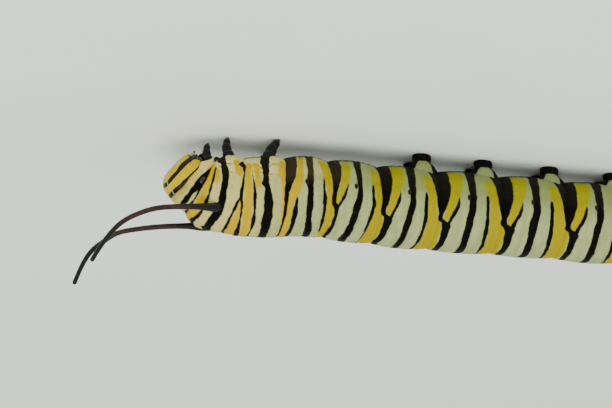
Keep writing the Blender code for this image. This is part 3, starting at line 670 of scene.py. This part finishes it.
frons_edge = np.abs(side) - np.interp(height, (FRONS_FOOT, FRONS_TOP), (FRONS_HALF, 0.0))
on_frons = soft_step(0.03, -0.05, frons_edge) * soft_step(FRONS_FOOT - 0.02, FRONS_FOOT + 0.05, height)
suture = np.where(height > FRONS_FOOT, np.abs(frons_edge) * 0.9, 1.0)
suture = np.where(height > FRONS_TOP, np.abs(side), suture)
suture = np.where(tilt > math.pi / 2, np.abs(np.sin(swing)) + (np.cos(swing) < 0), suture)
groove = 0.035 * hump(suture, 0.016) + 0.03 * on_frons
shell = face_point(side, height) - outward * groove[:, None]
clypeus = np.minimum(0.33 - np.abs(side), np.minimum(height + 0.775, -0.665 - height)) * 1.6
lobes = 0.035 * np.exp(-((np.abs(side) - 0.50) / 0.22) ** 2 - ((height + 0.30) / 0.24) ** 2)
shell += outward * (lobes + 0.03 * soft_step(-0.02, 0.04, clypeus))[:, None]
mouth_gap = soft_step(0.56, 0.36, np.abs(side)) * soft_step(-0.76, -0.98, height)
shell[:, 2] += 0.40 * mouth_gap
rim = curve_of_rows(REAR_RIM, 1, swing_degrees)
past_widest = tilt_degrees - 90
behind = np.where(past_widest > 0, rim * np.clip(past_widest / 16, 0, 1), past_widest * 0.0283)
shell[:, 0] -= np.maximum(behind, 0)
inward = soft_step(math.radians(104), math.radians(180), tilt)
rim_roll = 0.05 * hump(tilt - math.radians(103), 0.07)
shell[:, 1:] *= (1 - 0.985 * inward + rim_roll * 0.4)[:, None]
shell[:, 0] += 0.25 * inward
shell[tilt > math.pi - 1e-4] = shell[tilt > math.pi - 1e-4].mean(0)
write_points(capsule, in_head(shell))

near, far = (curve_of_rows(INNER_ARCH, column, swing_degrees) for column in (1, 2))
inner_arch = np.minimum(tilt_degrees - near, far - tilt_degrees) * 0.028
outer_arch = behind - curve_of_rows(OUTER_ARCH, 1, swing_degrees)
frons_black = np.minimum(-frons_edge * 1.5, (height - FRONS_FOOT) * 1.6)
mouth_edge = np.minimum(-0.80 - height, 0.62 - np.abs(side)) * 1.6
store(capsule, "black", np.max([inner_arch, outer_arch, frons_black, mouth_edge], 0))
store(capsule, "clypeus", clypeus)
store(capsule, "suture", suture)
store(capsule, "height", height)
close_up()

casing = Finish("head_shell", 0.32, 0.03)
black = casing.ramp(casing.plus(casing.read("black"), casing.uneven(6000, 3, 0.12)), -0.02, 0.03)
yellow = casing.blotches(1500, 3, 0.3, 0.7, (0.58, 0.365, 0.0004), (0.60, 0.42, 0.010))
mottle = casing.ramp(casing.noise(5200, 4, 0.6), 0.52, 0.74, 0.0, 0.55)
yellow = casing.mix(mottle, yellow, (0.52, 0.29, 0.0008))
on_crown = casing.ramp(casing.read("height"), FRONS_TOP - 0.08, FRONS_TOP + 0.06, 0.35, 0.85)
line = casing.times(casing.ramp(casing.read("suture"), 0.026, 0.014), on_crown)
tint = casing.mix(line, casing.mix(black, yellow, INK), (0.50, 0.48, 0.34))
brow = casing.ramp(casing.read("clypeus"), -0.02, 0.02)
brow_tint = casing.blotches(5000, 2, 0.3, 0.7, (0.50, 0.47, 0.24), (0.40, 0.34, 0.14))
casing.colour(casing.mix(brow, tint, brow_tint))
casing.relief(((9000, 3, 0.6), 0.00003, 0.6), ((2600, 3, 0.55), 0.00008, 0.5))
casing.put(casing.shader.inputs["Coat Weight"], casing.times(black, 0.30))
casing.shader.inputs["Coat Roughness"].default_value = 0.28
capsule.data.materials.append(casing.material)
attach(capsule, "root")
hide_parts("head")

# The eyes: on each cheek six small clear domes in a curved row. They are glassy and nearly black, and each
# one sits in a low collar of black horn.
EYE_TURNS = (-100, -52, -4, 44, 92, 140)
EYE_ROW_SIDE, EYE_ROW_HEIGHT, EYE_ROW_REACH = 0.76, -0.40, 0.11  # in shares of the head's half sizes
horn = Finish("black_horn", 0.22, 0.2)
horn.colour(horn.blotches(5000, 3, 0.35, 0.7, INK, (0.022, 0.017, 0.013)))
horn.relief(((12000, 3), 0.00002, 0.5))
glass = Finish("eye_glass", 0.06)
glass.colour(glass.blotches(4000, 2, 0.35, 0.65, (0.014, 0.009, 0.006), (0.009, 0.007, 0.006)))
glass.shader.inputs["Coat Weight"].default_value = 0.8
glass.shader.inputs["Coat Roughness"].default_value = 0.03


def turn_to(normal):
    """The turn that carries +Z onto the normal."""
    return Vector(normal).to_track_quat("Z", "Y").to_matrix().to_4x4()


def join(pieces, name):
    take_up(*pieces)
    bpy.ops.object.join()
    made = bpy.context.object
    made.name = name
    return made


def settle(piece):
    """Puts the piece's place and turn into its mesh."""
    take_up(piece)
    bpy.ops.object.transform_apply(location=True, rotation=True, scale=True)


def face_normal(side, height):
    step = 0.02
    across = face_point(side + step, height) - face_point(side - step, height)
    along = face_point(side, height + step) - face_point(side, height - step)
    normal = np.cross(across, along)
    return normal / np.linalg.norm(normal) * math.copysign(1, normal[0])


for sign, name in ((-1, "right"), (1, "left")):
    domes = []
    collars = []
    for turn in np.radians(EYE_TURNS):
        spot_on_face = (sign * (EYE_ROW_SIDE + EYE_ROW_REACH * math.cos(turn)),
                        EYE_ROW_HEIGHT + EYE_ROW_REACH * math.sin(turn))
        normal = Vector(face_normal(*spot_on_face) @ HEAD)
        spot = Vector(in_head(face_point(*spot_on_face)))
        dome = ball(20, 12, 0.062 * MM)
        dome.scale = (1, 1, 0.85)
        proud = Matrix.Translation(spot + normal * 0.020 * MM)
        dome.matrix_world = proud @ turn_to(normal) @ dome.matrix_world
        settle(dome)
        domes.append(dome)
        bpy.ops.mesh.primitive_torus_add(major_segments=24, minor_segments=8, major_radius=0.068 * MM,
                                         minor_radius=0.020 * MM)
        collar = bpy.context.object
        collar.matrix_world = Matrix.Translation(spot + normal * 0.004 * MM) @ turn_to(normal)
        settle(collar)
        collars.append(collar)
    for parts, title, finish in ((domes, "eyes_" + name, glass), (collars, "eye_collars_" + name, horn)):
        made = join(parts, title)
        made.data.materials.append(finish.material)
        bpy.ops.object.shade_smooth()
        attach(made, "root")


# The upper lip and the jaws: a notched lip plate, and under it two toothed jaws that meet in the middle. All
# are brown-black horn, drawn from a subdivided block and two balls whose points are moved by rules.
def lip_rule(points):
    across, down = points[:, 0] / 0.5, -points[:, 1] / 0.5
    notch = 0.17 * hump(across, 0.24) * np.clip(down, 0, 1)
    wide = 0.43 - 0.03 * np.clip(down, -1, 1) - 0.06 * np.maximum(down, 0) ** 4
    drop = -1.40 - 0.21 * down + 0.06 * across**2 * down + notch
    ahead = 0.90 - 0.16 * across**2 + points[:, 2] * 0.15 - 0.07 * down - 0.05 * np.maximum(down, 0) ** 2
    return in_head(np.stack((ahead, across * wide, drop), -1))


def jaw_rule(points, sign):
    edge = np.clip(-points[:, 2], 0, 1) ** 2
    inner = np.clip(-points[:, 1], 0, 1)
    teeth = 0.045 * np.cos(points[:, 0] * 15) * edge * inner
    ahead = 0.62 + points[:, 0] * (0.30 - 0.06 * edge)
    across = sign * (0.36 - 0.16 * edge + points[:, 1] * 0.27 * (1 - 0.35 * edge))
    drop = -1.48 + points[:, 2] * 0.33 - teeth - 0.06 * edge * inner
    return in_head(np.stack((ahead, across, drop), -1))


take_up()
bpy.ops.mesh.primitive_cube_add(size=1)
lip = bpy.context.object
bpy.ops.object.mode_set(mode="EDIT")
bpy.ops.mesh.subdivide(number_cuts=9)
bpy.ops.object.mode_set(mode="OBJECT")
write_points(lip, lip_rule(read_points(lip)))
rounding = lip.modifiers.new("smooth", "SUBSURF")
rounding.levels = 1
rounding.render_levels = 1
bpy.ops.object.modifier_apply(modifier=rounding.name)
mouth_pieces = [lip]
for sign in (-1, 1):
    jaw = ball(40, 30)
    write_points(jaw, jaw_rule(read_points(jaw), sign))
    mouth_pieces.append(jaw)
mouth = join(mouth_pieces, "jaws_and_upper_lip")
close_up()
jaw_horn = Finish("jaw_horn", 0.28, 0.2)
jaw_horn.colour(jaw_horn.blotches(4000, 3, 0.3, 0.7, (0.006, 0.004, 0.003), (0.020, 0.012, 0.007)))
jaw_horn.relief(((9000, 3), 0.00002, 0.5))
mouth.data.materials.append(jaw_horn.material)
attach(mouth, "root")

# The lower lip: soft grey-brown skin with two jointed palps and, between them, the small spout that the silk
# comes from. Each is a rounded lobe, and they grow into one another under the jaws.
LIP_LOBES = (((0.22, 0, -1.46), (0.34, 0.30, 0.30)), ((0.30, 0.30, -1.60), (0.15, 0.13, 0.22)),
             ((0.30, -0.30, -1.60), (0.15, 0.13, 0.22)), ((0.42, 0.0, -1.70), (0.07, 0.07, 0.17)),
             ((0.36, 0.30, -1.80), (0.07, 0.06, 0.12)), ((0.36, -0.30, -1.80), (0.07, 0.06, 0.12)))
lower = []
for spot, sizes in LIP_LOBES:
    lobe = ball(24, 16)
    write_points(lobe, in_head(read_points(lobe) * sizes + spot))
    lower.append(lobe)
lower_lip = join(lower, "lower_lip")
close_up()
lip_skin = Finish("lip_skin", 0.45)
lip_skin.colour(lip_skin.blotches(4500, 3, 0.35, 0.65, (0.05, 0.040, 0.028), (0.17, 0.14, 0.09)))
lip_skin.relief(((9000, 3), 0.00003, 0.5))
lower_lip.data.materials.append(lip_skin.material)
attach(lower_lip, "root")

# The feelers of the face: a short jointed pair beside the mouth, pale skin at the root and black horn beyond.
# Each is a line with a thickness at each point, filled round and closed at its tip.
FEELER_ROOT = (0.54, -0.66)
FEELER_WAY = (0.45, 0.28, -0.80)
FEELER_STEPS = (-0.10, 0.0, 0.05, 0.08, 0.09, 0.14, 0.15, 0.23, 0.24, 0.285, 0.30, 0.305)
FEELER_WIDTHS = (0.16, 0.18, 0.175, 0.145, 0.115, 0.105, 0.085, 0.075, 0.045, 0.036, 0.018, 0.002)


def tapered(name, points, radii, resolution=6):
    """A round piece along points in metres, with a radius at each of them, as a mesh."""
    line = bpy.data.curves.new(name, "CURVE")
    line.dimensions = "3D"
    line.bevel_depth = 1.0
    line.bevel_resolution = resolution
    line.use_fill_caps = True
    line.use_radius = True
    spline = line.splines.new("POLY")
    spline.points.add(len(points) - 1)
    for knot, point, radius in zip(spline.points, points, radii):
        knot.co = (*point, 1)
        knot.radius = radius
    made = bpy.data.objects.new(name, line)
    bpy.context.scene.collection.objects.link(made)
    take_up(made)
    bpy.ops.object.convert(target="MESH")
    made = bpy.context.object
    close_up(0.0000005)
    nearest = np.argmin(((read_points(made)[:, None, :] - np.asarray(points)[None]) ** 2).sum(-1), 1)
    store(made, "along", nearest / (len(points) - 1))
    return made


face_feelers = []
for sign in (-1, 1):
    root = face_point(sign * FEELER_ROOT[0], FEELER_ROOT[1])
    way = np.array(FEELER_WAY) * (1, sign, 1)
    way /= np.linalg.norm(way)
    points = in_head(root + np.outer(FEELER_STEPS, way))
    face_feelers.append(tapered("feeler", points, np.array(FEELER_WIDTHS) * MM, 5))
feelers = join(face_feelers, "face_feelers")
feeler_skin = Finish("feeler_skin", 0.4)
beyond_root = feeler_skin.ramp(feeler_skin.read("along"), 0.42, 0.50)
root_tint = feeler_skin.blotches(6000, 2, 0.3, 0.7, (0.44, 0.40, 0.22), (0.34, 0.29, 0.14))
feeler_skin.colour(feeler_skin.mix(beyond_root, root_tint, (0.010, 0.008, 0.007)))
feeler_skin.relief(((12000, 2), 0.00002, 0.4))
feelers.data.materials.append(feeler_skin.material)
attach(feelers, "root")

# The six jointed legs: hard, shiny black horn in three lengths with a grey skin ring at each joint, and a
# single hooked claw. They grow from under the thorax, with their roots beneath the swellings of the skin.
LEGS = (  # ring, number, share, turn from the belly, tips of the right and left leg, thickness, depth
    ("prothorax", 0, 0.50, 34.0, (6.82, 1.05, 0.40), (6.68, 1.05, 0.40), 0.76, -0.37),
    ("mesothorax", 1, 0.52, 27.0, (5.56, 1.26, -0.02), (5.50, 1.90, 0.35), 0.84, -0.22),
    ("metathorax", 2, 0.62, 31.0, (2.13, 1.52, -0.02), (2.13, 1.52, -0.02), 0.98, -0.22))
LEG_PROFILE = (  # share of the leg, radius
    (-0.45, 0.46), (0.00, 0.48), (0.14, 0.46), (0.25, 0.425), (0.30, 0.365), (0.335, 0.385), (0.42, 0.385),
    (0.54, 0.36), (0.60, 0.33), (0.64, 0.29), (0.67, 0.31), (0.75, 0.295), (0.82, 0.26), (0.865, 0.21),
    (0.89, 0.185), (0.92, 0.125), (0.945, 0.085), (0.975, 0.048), (1.00, 0.012))
LEG_START = -0.45  # the share at which a leg begins, inside the body
LEG_JOINTS = (0.30, 0.64, 0.86)
LEG_KNEE = 0.16
leg_horn = Finish("leg_horn", 0.20, 0.16)
joint = leg_horn.ramp(leg_horn.read("joint"), 0.016, 0.003)
leg_black = leg_horn.blotches(5000, 3, 0.35, 0.7, (0.0012, 0.0012, 0.001), (0.005, 0.0045, 0.004))
claw = leg_horn.ramp(leg_horn.read("along"), 0.955, 0.985, 0.0, 0.8)
leg_black = leg_horn.mix(claw, leg_black, (0.075, 0.060, 0.045))
leg_horn.colour(leg_horn.mix(joint, leg_black, (0.036, 0.031, 0.026)))
leg_horn.relief(((9000, 3, 0.55, (1, 1, 0.4)), 0.00002, 0.5))
for ring, index, share, angle, right_tip, left_tip, thickness, depth in LEGS:
    for sign, side_name, tip in ((-1, "right", right_tip), (1, "left", left_tip)):
        start = hide_point(index + share, sign * math.pi - sign * math.radians(angle), depth) + ORIGIN
        end = np.array((tip[0], axis_of_body(index + share)[1] + sign * tip[1], max(tip[2], 0.015)))
        steps = np.linspace(LEG_START, 1, 100)
        route = start + np.outer(steps, end - start)
        route[:, 0] += LEG_KNEE * np.sin(math.pi * np.maximum(steps, 0))
        route[:, 2] = np.maximum(route[:, 2], 0.012)
        widths = np.maximum(curve_of_rows(LEG_PROFILE, 1, steps) * thickness, 0.004)
        leg = tapered(f"leg_{ring}_{side_name}_horn", (route - ORIGIN) * MM, widths * MM, 8)
        along = np.empty(len(leg.data.vertices), np.float32)
        leg.data.attributes["along"].data.foreach_get("value", along)
        along = along * (1 - LEG_START) + LEG_START
        store(leg, "joint", np.min([np.abs(along - spot) for spot in LEG_JOINTS], 0))
        leg.data.materials.append(leg_horn.material)
        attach(leg, "root")
        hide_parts(f"leg_{ring}_{side_name}")

# The long soft horns: one pair on the second ring, which reach forwards, and a short pair at the rear. They
# are finely ringed, black at the root and the tip, and red-brown between.
ANGLE_OF_HORNS = math.radians(48)
FRONT_ROOT, REAR_ROOT = 1.46, 10.52
RIGHT_FRONT_PATH = ((7.71, -1.50, 5.45), (9.35, -1.61, 5.65), (10.75, -1.74, 5.95), (12.00, -1.86, 6.50),
                    (13.05, -1.98, 7.20), (13.85, -2.14, 8.10), (14.55, -2.32, 9.15), (15.14, -2.45, 10.21))
LEFT_FRONT_PATH = ((7.40, 2.71, 5.40), (9.10, 2.74, 5.60), (10.80, 2.77, 5.93), (12.15, 2.80, 6.33),
                   (13.10, 2.83, 6.99), (13.92, 2.86, 7.75), (14.50, 2.90, 8.75), (15.03, 2.95, 10.12))
REAR_PATH = ((-0.55, 0.38, 0.85), (-1.30, 0.62, 1.65), (-2.00, 0.76, 2.65), (-2.45, 0.80, 3.55))
RADII_AT = (0, 0.05, 0.10, 0.20, 0.45, 0.75, 0.93, 1.0)
FRONT_RADII = (0.44, 0.34, 0.27, 0.20, 0.175, 0.165, 0.15, 0.15)
REAR_RADII = (0.36, 0.30, 0.25, 0.20, 0.18, 0.15, 0.12, 0.12)
RINGING, RING_PITCH = 0.035, 0.075
horn_skin = Finish("horn_skin", 0.42, 0.2)
along = horn_skin.read("along")
red = horn_skin.times(horn_skin.ramp(along, 0.16, 0.34), horn_skin.ramp(along, 0.80, 0.62))
brown = horn_skin.blotches(2500, 3, 0.3, 0.7, (0.022, 0.008, 0.008), (0.040, 0.016, 0.014))
horn_skin.colour(horn_skin.mix(red, (0.005, 0.004, 0.004), brown))
horn_skin.relief(((11000, 3), 0.00003, 0.6))


def back_horn(name, place, sign, path, radii, count, nodes):
    root = hide_point(place, sign * ANGLE_OF_HORNS) + ORIGIN
    under = root + (axis_of_body(place) - root) * 0.22
    row = np.array([under, root, *path])
    knots = np.concatenate(([0], np.cumsum(np.linalg.norm(np.diff(row, axis=0), axis=1))))
    at = np.linspace(0, knots[-1], count)
    points = np.stack([curve(knots, row[:, axis], at) for axis in range(3)], -1)
    widths = curve(RADII_AT, radii, at / knots[-1])
    widths = widths * (1 + RINGING * np.sin(at / RING_PITCH * math.pi))
    end = np.sqrt(np.clip(1 - ((at - (knots[-1] - radii[-2])) / radii[-2]).clip(0, 1) ** 2, 0.02, 1))
    made = tapered(name, (points - ORIGIN) * MM, widths * end * MM, 6)
    made.data.materials.append(horn_skin.material)
    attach(made, "root")
    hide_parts(*nodes)


for sign, side_name, path in ((-1, "right", RIGHT_FRONT_PATH), (1, "left", LEFT_FRONT_PATH)):
    back_horn(f"front_horn_{side_name}", FRONT_ROOT, sign, path, FRONT_RADII, 300,
              [f"front_filament_{side_name}_{number}" for number in (1, 2, 3)])
    root = hide_point(REAR_ROOT, sign * ANGLE_OF_HORNS) + ORIGIN
    path = [root + (step[0], sign * step[1], step[2]) for step in REAR_PATH]
    back_horn(f"rear_horn_{side_name}", REAR_ROOT, sign, path, REAR_RADII, 110,
              [f"rear_filament_{side_name}"])

# The breathing holes: an oval black slit in a raised rim low on each side of the first ring and of the first
# eight rings of the abdomen. The rims on the first ring are larger and browner.
SPIRACLES = [(0.92, 83, 1.35, 1.0, 0.7)]  # place, turn, size, and how brown its rim and its slit are
SPIRACLES += [(3.395 + number + (0.02 if number else 0), 91, 1.0, 0.35, 0.0) for number in range(8)]
spiracles = []
for place, degrees, size, rim_brown, slit_brown in SPIRACLES:
    for sign in (-1, 1):
        angle = sign * math.radians(degrees)
        spot = hide_point(place, angle)
        nearby = [hide_point(place + step[0], angle + step[1])
                  for step in ((-0.02, 0), (0.02, 0), (0, -0.03), (0, 0.03))]
        along_way = Vector(nearby[0] - nearby[1]).normalized()
        normal = Vector(np.cross(nearby[1] - nearby[0], nearby[3] - nearby[2])).normalized()
        normal = normal if normal.dot(Vector(spot - middle_point(place))) > 0 else -normal
        place_matrix = Matrix((along_way, normal.cross(along_way), normal)).transposed().to_4x4()
        place_matrix.translation = Vector(spot) * MM
        bpy.ops.mesh.primitive_torus_add(major_segments=32, minor_segments=10, major_radius=0.115 * MM,
                                         minor_radius=0.030 * MM)
        rim = bpy.context.object
        rim.scale = (0.80 * size, 1.35 * size, 1.0)
        settle(rim)
        store(rim, "rim", np.full(len(rim.data.vertices), rim_brown))
        hole = ball(24, 12, 0.11 * MM)
        hole.scale = (0.80 * size, 1.35 * size, 0.12)
        settle(hole)
        store(hole, "rim", np.full(len(hole.data.vertices), slit_brown))
        made = join([rim, hole], "spiracle")
        made.matrix_world = place_matrix
        settle(made)
        spiracles.append(made)
breathing = join(spiracles, "breathing_holes")
bpy.ops.object.shade_smooth()
slit = Finish("breathing_rim", 0.5, 0.12)
rim_tint = slit.blotches(7000, 3, 0.4, 0.7, (0.040, 0.030, 0.020), (0.085, 0.065, 0.045))
slit.colour(slit.mix(slit.read("rim"), (0.004, 0.0035, 0.003), rim_tint))
slit.relief(((12000, 3), 0.00002, 0.5))
breathing.data.materials.append(slit.material)
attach(breathing, "root")

# The hooks of the feet: a curved row of small brown hooks on the inner side of each fleshy foot, which hold
# on to a silk mat. Each is a bent cone with its point turned outwards.
HOOK_LENGTH, HOOK_BEND = 0.12, 0.05
HOOK_SPREAD, HOOKS_IN_ROW = 72, 13  # degrees to each side of the middle of the foot, and their number
take_up()
bpy.ops.mesh.primitive_cone_add(vertices=6, radius1=0.020 * MM, radius2=0.003 * MM, depth=HOOK_LENGTH * MM,
                                location=(0, 0, HOOK_LENGTH / 2 * MM))
bpy.ops.object.mode_set(mode="EDIT")
bpy.ops.mesh.subdivide(number_cuts=1)
bpy.ops.object.mode_set(mode="OBJECT")
one_hook = bpy.context.object
settle(one_hook)
bent = read_points(one_hook)
bent[:, 0] += HOOK_BEND * MM * (bent[:, 2] / (HOOK_LENGTH * MM)) ** 2
write_points(one_hook, bent)
bpy.ops.object.shade_smooth()


def scatter(shape, name, spots):
    """Copies of one small shape, each with its foot at a point, its length along a way and its size."""
    copies = []
    for spot, way, size in spots:
        copy = shape.copy()
        copy.data = shape.data.copy()
        bpy.context.scene.collection.objects.link(copy)
        copy.matrix_world = Matrix.Translation(Vector(spot) * MM) @ turn_to(way) @ Matrix.Scale(size, 4)
        copies.append(copy)
    bpy.data.objects.remove(shape)
    made = join(copies, name)
    settle(made)
    return made


hook_spots = []
for centre, side, lean in prolegs:
    axis = middle_point(centre)
    inwards = -math.copysign(1, side)
    for turn in np.radians(np.linspace(-HOOK_SPREAD, HOOK_SPREAD, HOOKS_IN_ROW)):
        out = np.array((math.sin(turn), inwards * math.cos(turn), 0))
        foot = np.array((axis[0] - lean, axis[1] + side, 0.13)) + out * (0.60, 0.44, 0)
        hook_spots.append((foot, out * 0.55 + (0, 0, -0.83), 1.0))
hooks = scatter(one_hook, "foot_hooks", hook_spots)
hook_horn = Finish("hook_horn", 0.3, 0.25)
hook_horn.colour(hook_horn.blotches(6000, 2, 0.3, 0.7, (0.05, 0.022, 0.010), (0.09, 0.045, 0.02)))
hooks.data.materials.append(hook_horn.material)
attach(hooks, "root")

# The hairs: short stiff hairs, few and thin, in their fixed places on every ring but the first and the last,
# on the head and on the outer sides of the feet. Each is a thin cone that leans a little backwards.
HAIR_PLACES = (  # turn from the middle of the back on each side, and share of the ring
    (14, 0.30), (30, 0.70), (58, 0.44), (76, 0.26), (88, 0.62), (104, 0.50), (118, 0.66), (134, 0.36))
HEAD_HAIRS, HEAD_HAIR_TURN, HEAD_HAIR_REACH = 64, 2.39996, 0.94  # a spiral like that of a sunflower's seeds
FOOT_HAIR_TURNS, FOOT_HAIR_LEVELS = (-70, -35, 0, 35, 70), (0.30, 0.62)
take_up()
bpy.ops.mesh.primitive_cone_add(vertices=5, radius1=0.008 * MM, radius2=0.002 * MM, depth=0.28 * MM,
                                location=(0, 0, 0.13 * MM))
one_hair = bpy.context.object
settle(one_hair)
bpy.ops.object.shade_smooth()
hair_spots = []
for index in range(1, LAST):
    for number, (turn, share) in enumerate(HAIR_PLACES):
        for sign in (-1, 1):
            angle = sign * math.radians(turn + 2.5 * math.sin(index * 2.1 + number * 1.3))
            place = index + share + 0.03 * math.sin(index * 1.7 + number * 2.9 + sign)
            spot = hide_point(place, angle)
            way = spot - middle_point(place)
            way = way / np.linalg.norm(way) + (-0.30, 0, 0.10)
            hair_spots.append((spot, way, 0.62 + 0.30 * math.sin(index + number * 2.0) ** 2))
for number in range(HEAD_HAIRS):
    reach = math.sqrt((number + 0.5) / HEAD_HAIRS) * HEAD_HAIR_REACH
    across, high = reach * math.cos(number * HEAD_HAIR_TURN), reach * math.sin(number * HEAD_HAIR_TURN)
    if high > -0.62 or abs(across) > 0.60:
        way = face_normal(across, high) @ HEAD + (0, 0, -0.25)
        size = 0.55 + 0.35 * math.sin(number * 1.9) ** 2
        hair_spots.append((in_head(face_point(across, high)) / MM, way, size))
for centre, side, lean in prolegs:
    axis = middle_point(centre)
    for number, turn in enumerate(np.radians(FOOT_HAIR_TURNS)):
        out = np.array((math.sin(turn), math.copysign(math.cos(turn), side), 0))
        for level in FOOT_HAIR_LEVELS:
            foot = np.array((axis[0] - lean * (1 - level / FOOT_TOP), axis[1] + side, level))
            foot = foot + out * (0.62, 0.48, 0)
            hair_spots.append((foot, out + (0, 0, -0.35), 0.6 + 0.1 * (number % 3)))
hairs = scatter(one_hair, "hairs", hair_spots)
hair_horn = Finish("hair_horn", 0.4, 0.25)
hair_horn.colour(hair_horn.blotches(900, 2, 0.4, 0.6, (0.05, 0.04, 0.028), (0.16, 0.13, 0.09)))
hairs.data.materials.append(hair_horn.material)
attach(hairs, "root")

# The floor: a plain, pale, dull board that the larva stands on. It is one flat face, far wider than the
# picture, and only a stage.
take_up()
bpy.ops.mesh.primitive_plane_add(size=4.0, location=(0, 0, 0))
floor = bpy.context.object
floor.name = "floor"
paper = Finish("floor", 0.8)
paper.colour(paper.blotches(60, 3, 0.35, 0.65, (0.91, 0.96, 0.90), (0.89, 0.94, 0.88)))
floor.data.materials.append(paper.material)

# The camera: it stands before the right side and a little above it, and looks at the front half of the body.
# It is turned over by half a turn, so that the larva shows back down, as it hung.
TARGET = Vector((0.009798, -0.000273, 0.0040))
AZIMUTH, ELEVATION, DISTANCE = math.radians(17), math.radians(19), 0.216
SENSOR, AWAY, SEEN = 36, 216, 40.8  # the sensor, its distance and the width that it sees there, in mm
back = Vector((math.sin(AZIMUTH) * math.cos(ELEVATION), -math.cos(AZIMUTH) * math.cos(ELEVATION),
               math.sin(ELEVATION)))
right = Vector((math.cos(AZIMUTH), math.sin(AZIMUTH), 0))
up = back.cross(right)
eye = bpy.data.cameras.new("camera")
eye.lens = SENSOR * AWAY / SEEN
eye.sensor_width = SENSOR
eye.clip_start = 0.01
eye.clip_end = 10
camera = bpy.data.objects.new("camera", eye)
bpy.context.scene.collection.objects.link(camera)
turned_over = Matrix((-right, -up, back)).transposed().to_4x4()
camera.matrix_world = Matrix.Translation(TARGET + back * DISTANCE) @ turned_over
bpy.context.scene.camera = camera

# The light: soft studio light from a wide lamp over the back and a weaker one from the head's side. The room
# is pale, and lights the shaded sides evenly.
world = bpy.data.worlds.new("room")
world.use_nodes = True
world.node_tree.nodes["Background"].inputs["Color"].default_value = (0.86, 0.92, 0.86, 1)
world.node_tree.nodes["Background"].inputs["Strength"].default_value = 0.92
bpy.context.scene.world = world


def lamp(name, place, power, size, colour):
    light = bpy.data.lights.new(name, "AREA")
    light.shape = "DISK"
    light.energy = power
    light.size = size
    light.color = colour
    item = bpy.data.objects.new(name, light)
    item.location = place
    item.rotation_euler = (TARGET - Vector(place)).to_track_quat("-Z", "Y").to_euler()
    bpy.context.scene.collection.objects.link(item)


lamp("lamp_over", (0.04, -0.17, 0.26), 0.75, 0.26, (1.0, 0.97, 0.92))
lamp("lamp_head", (0.28, -0.10, 0.12), 0.22, 0.16, (0.96, 1.0, 0.96))
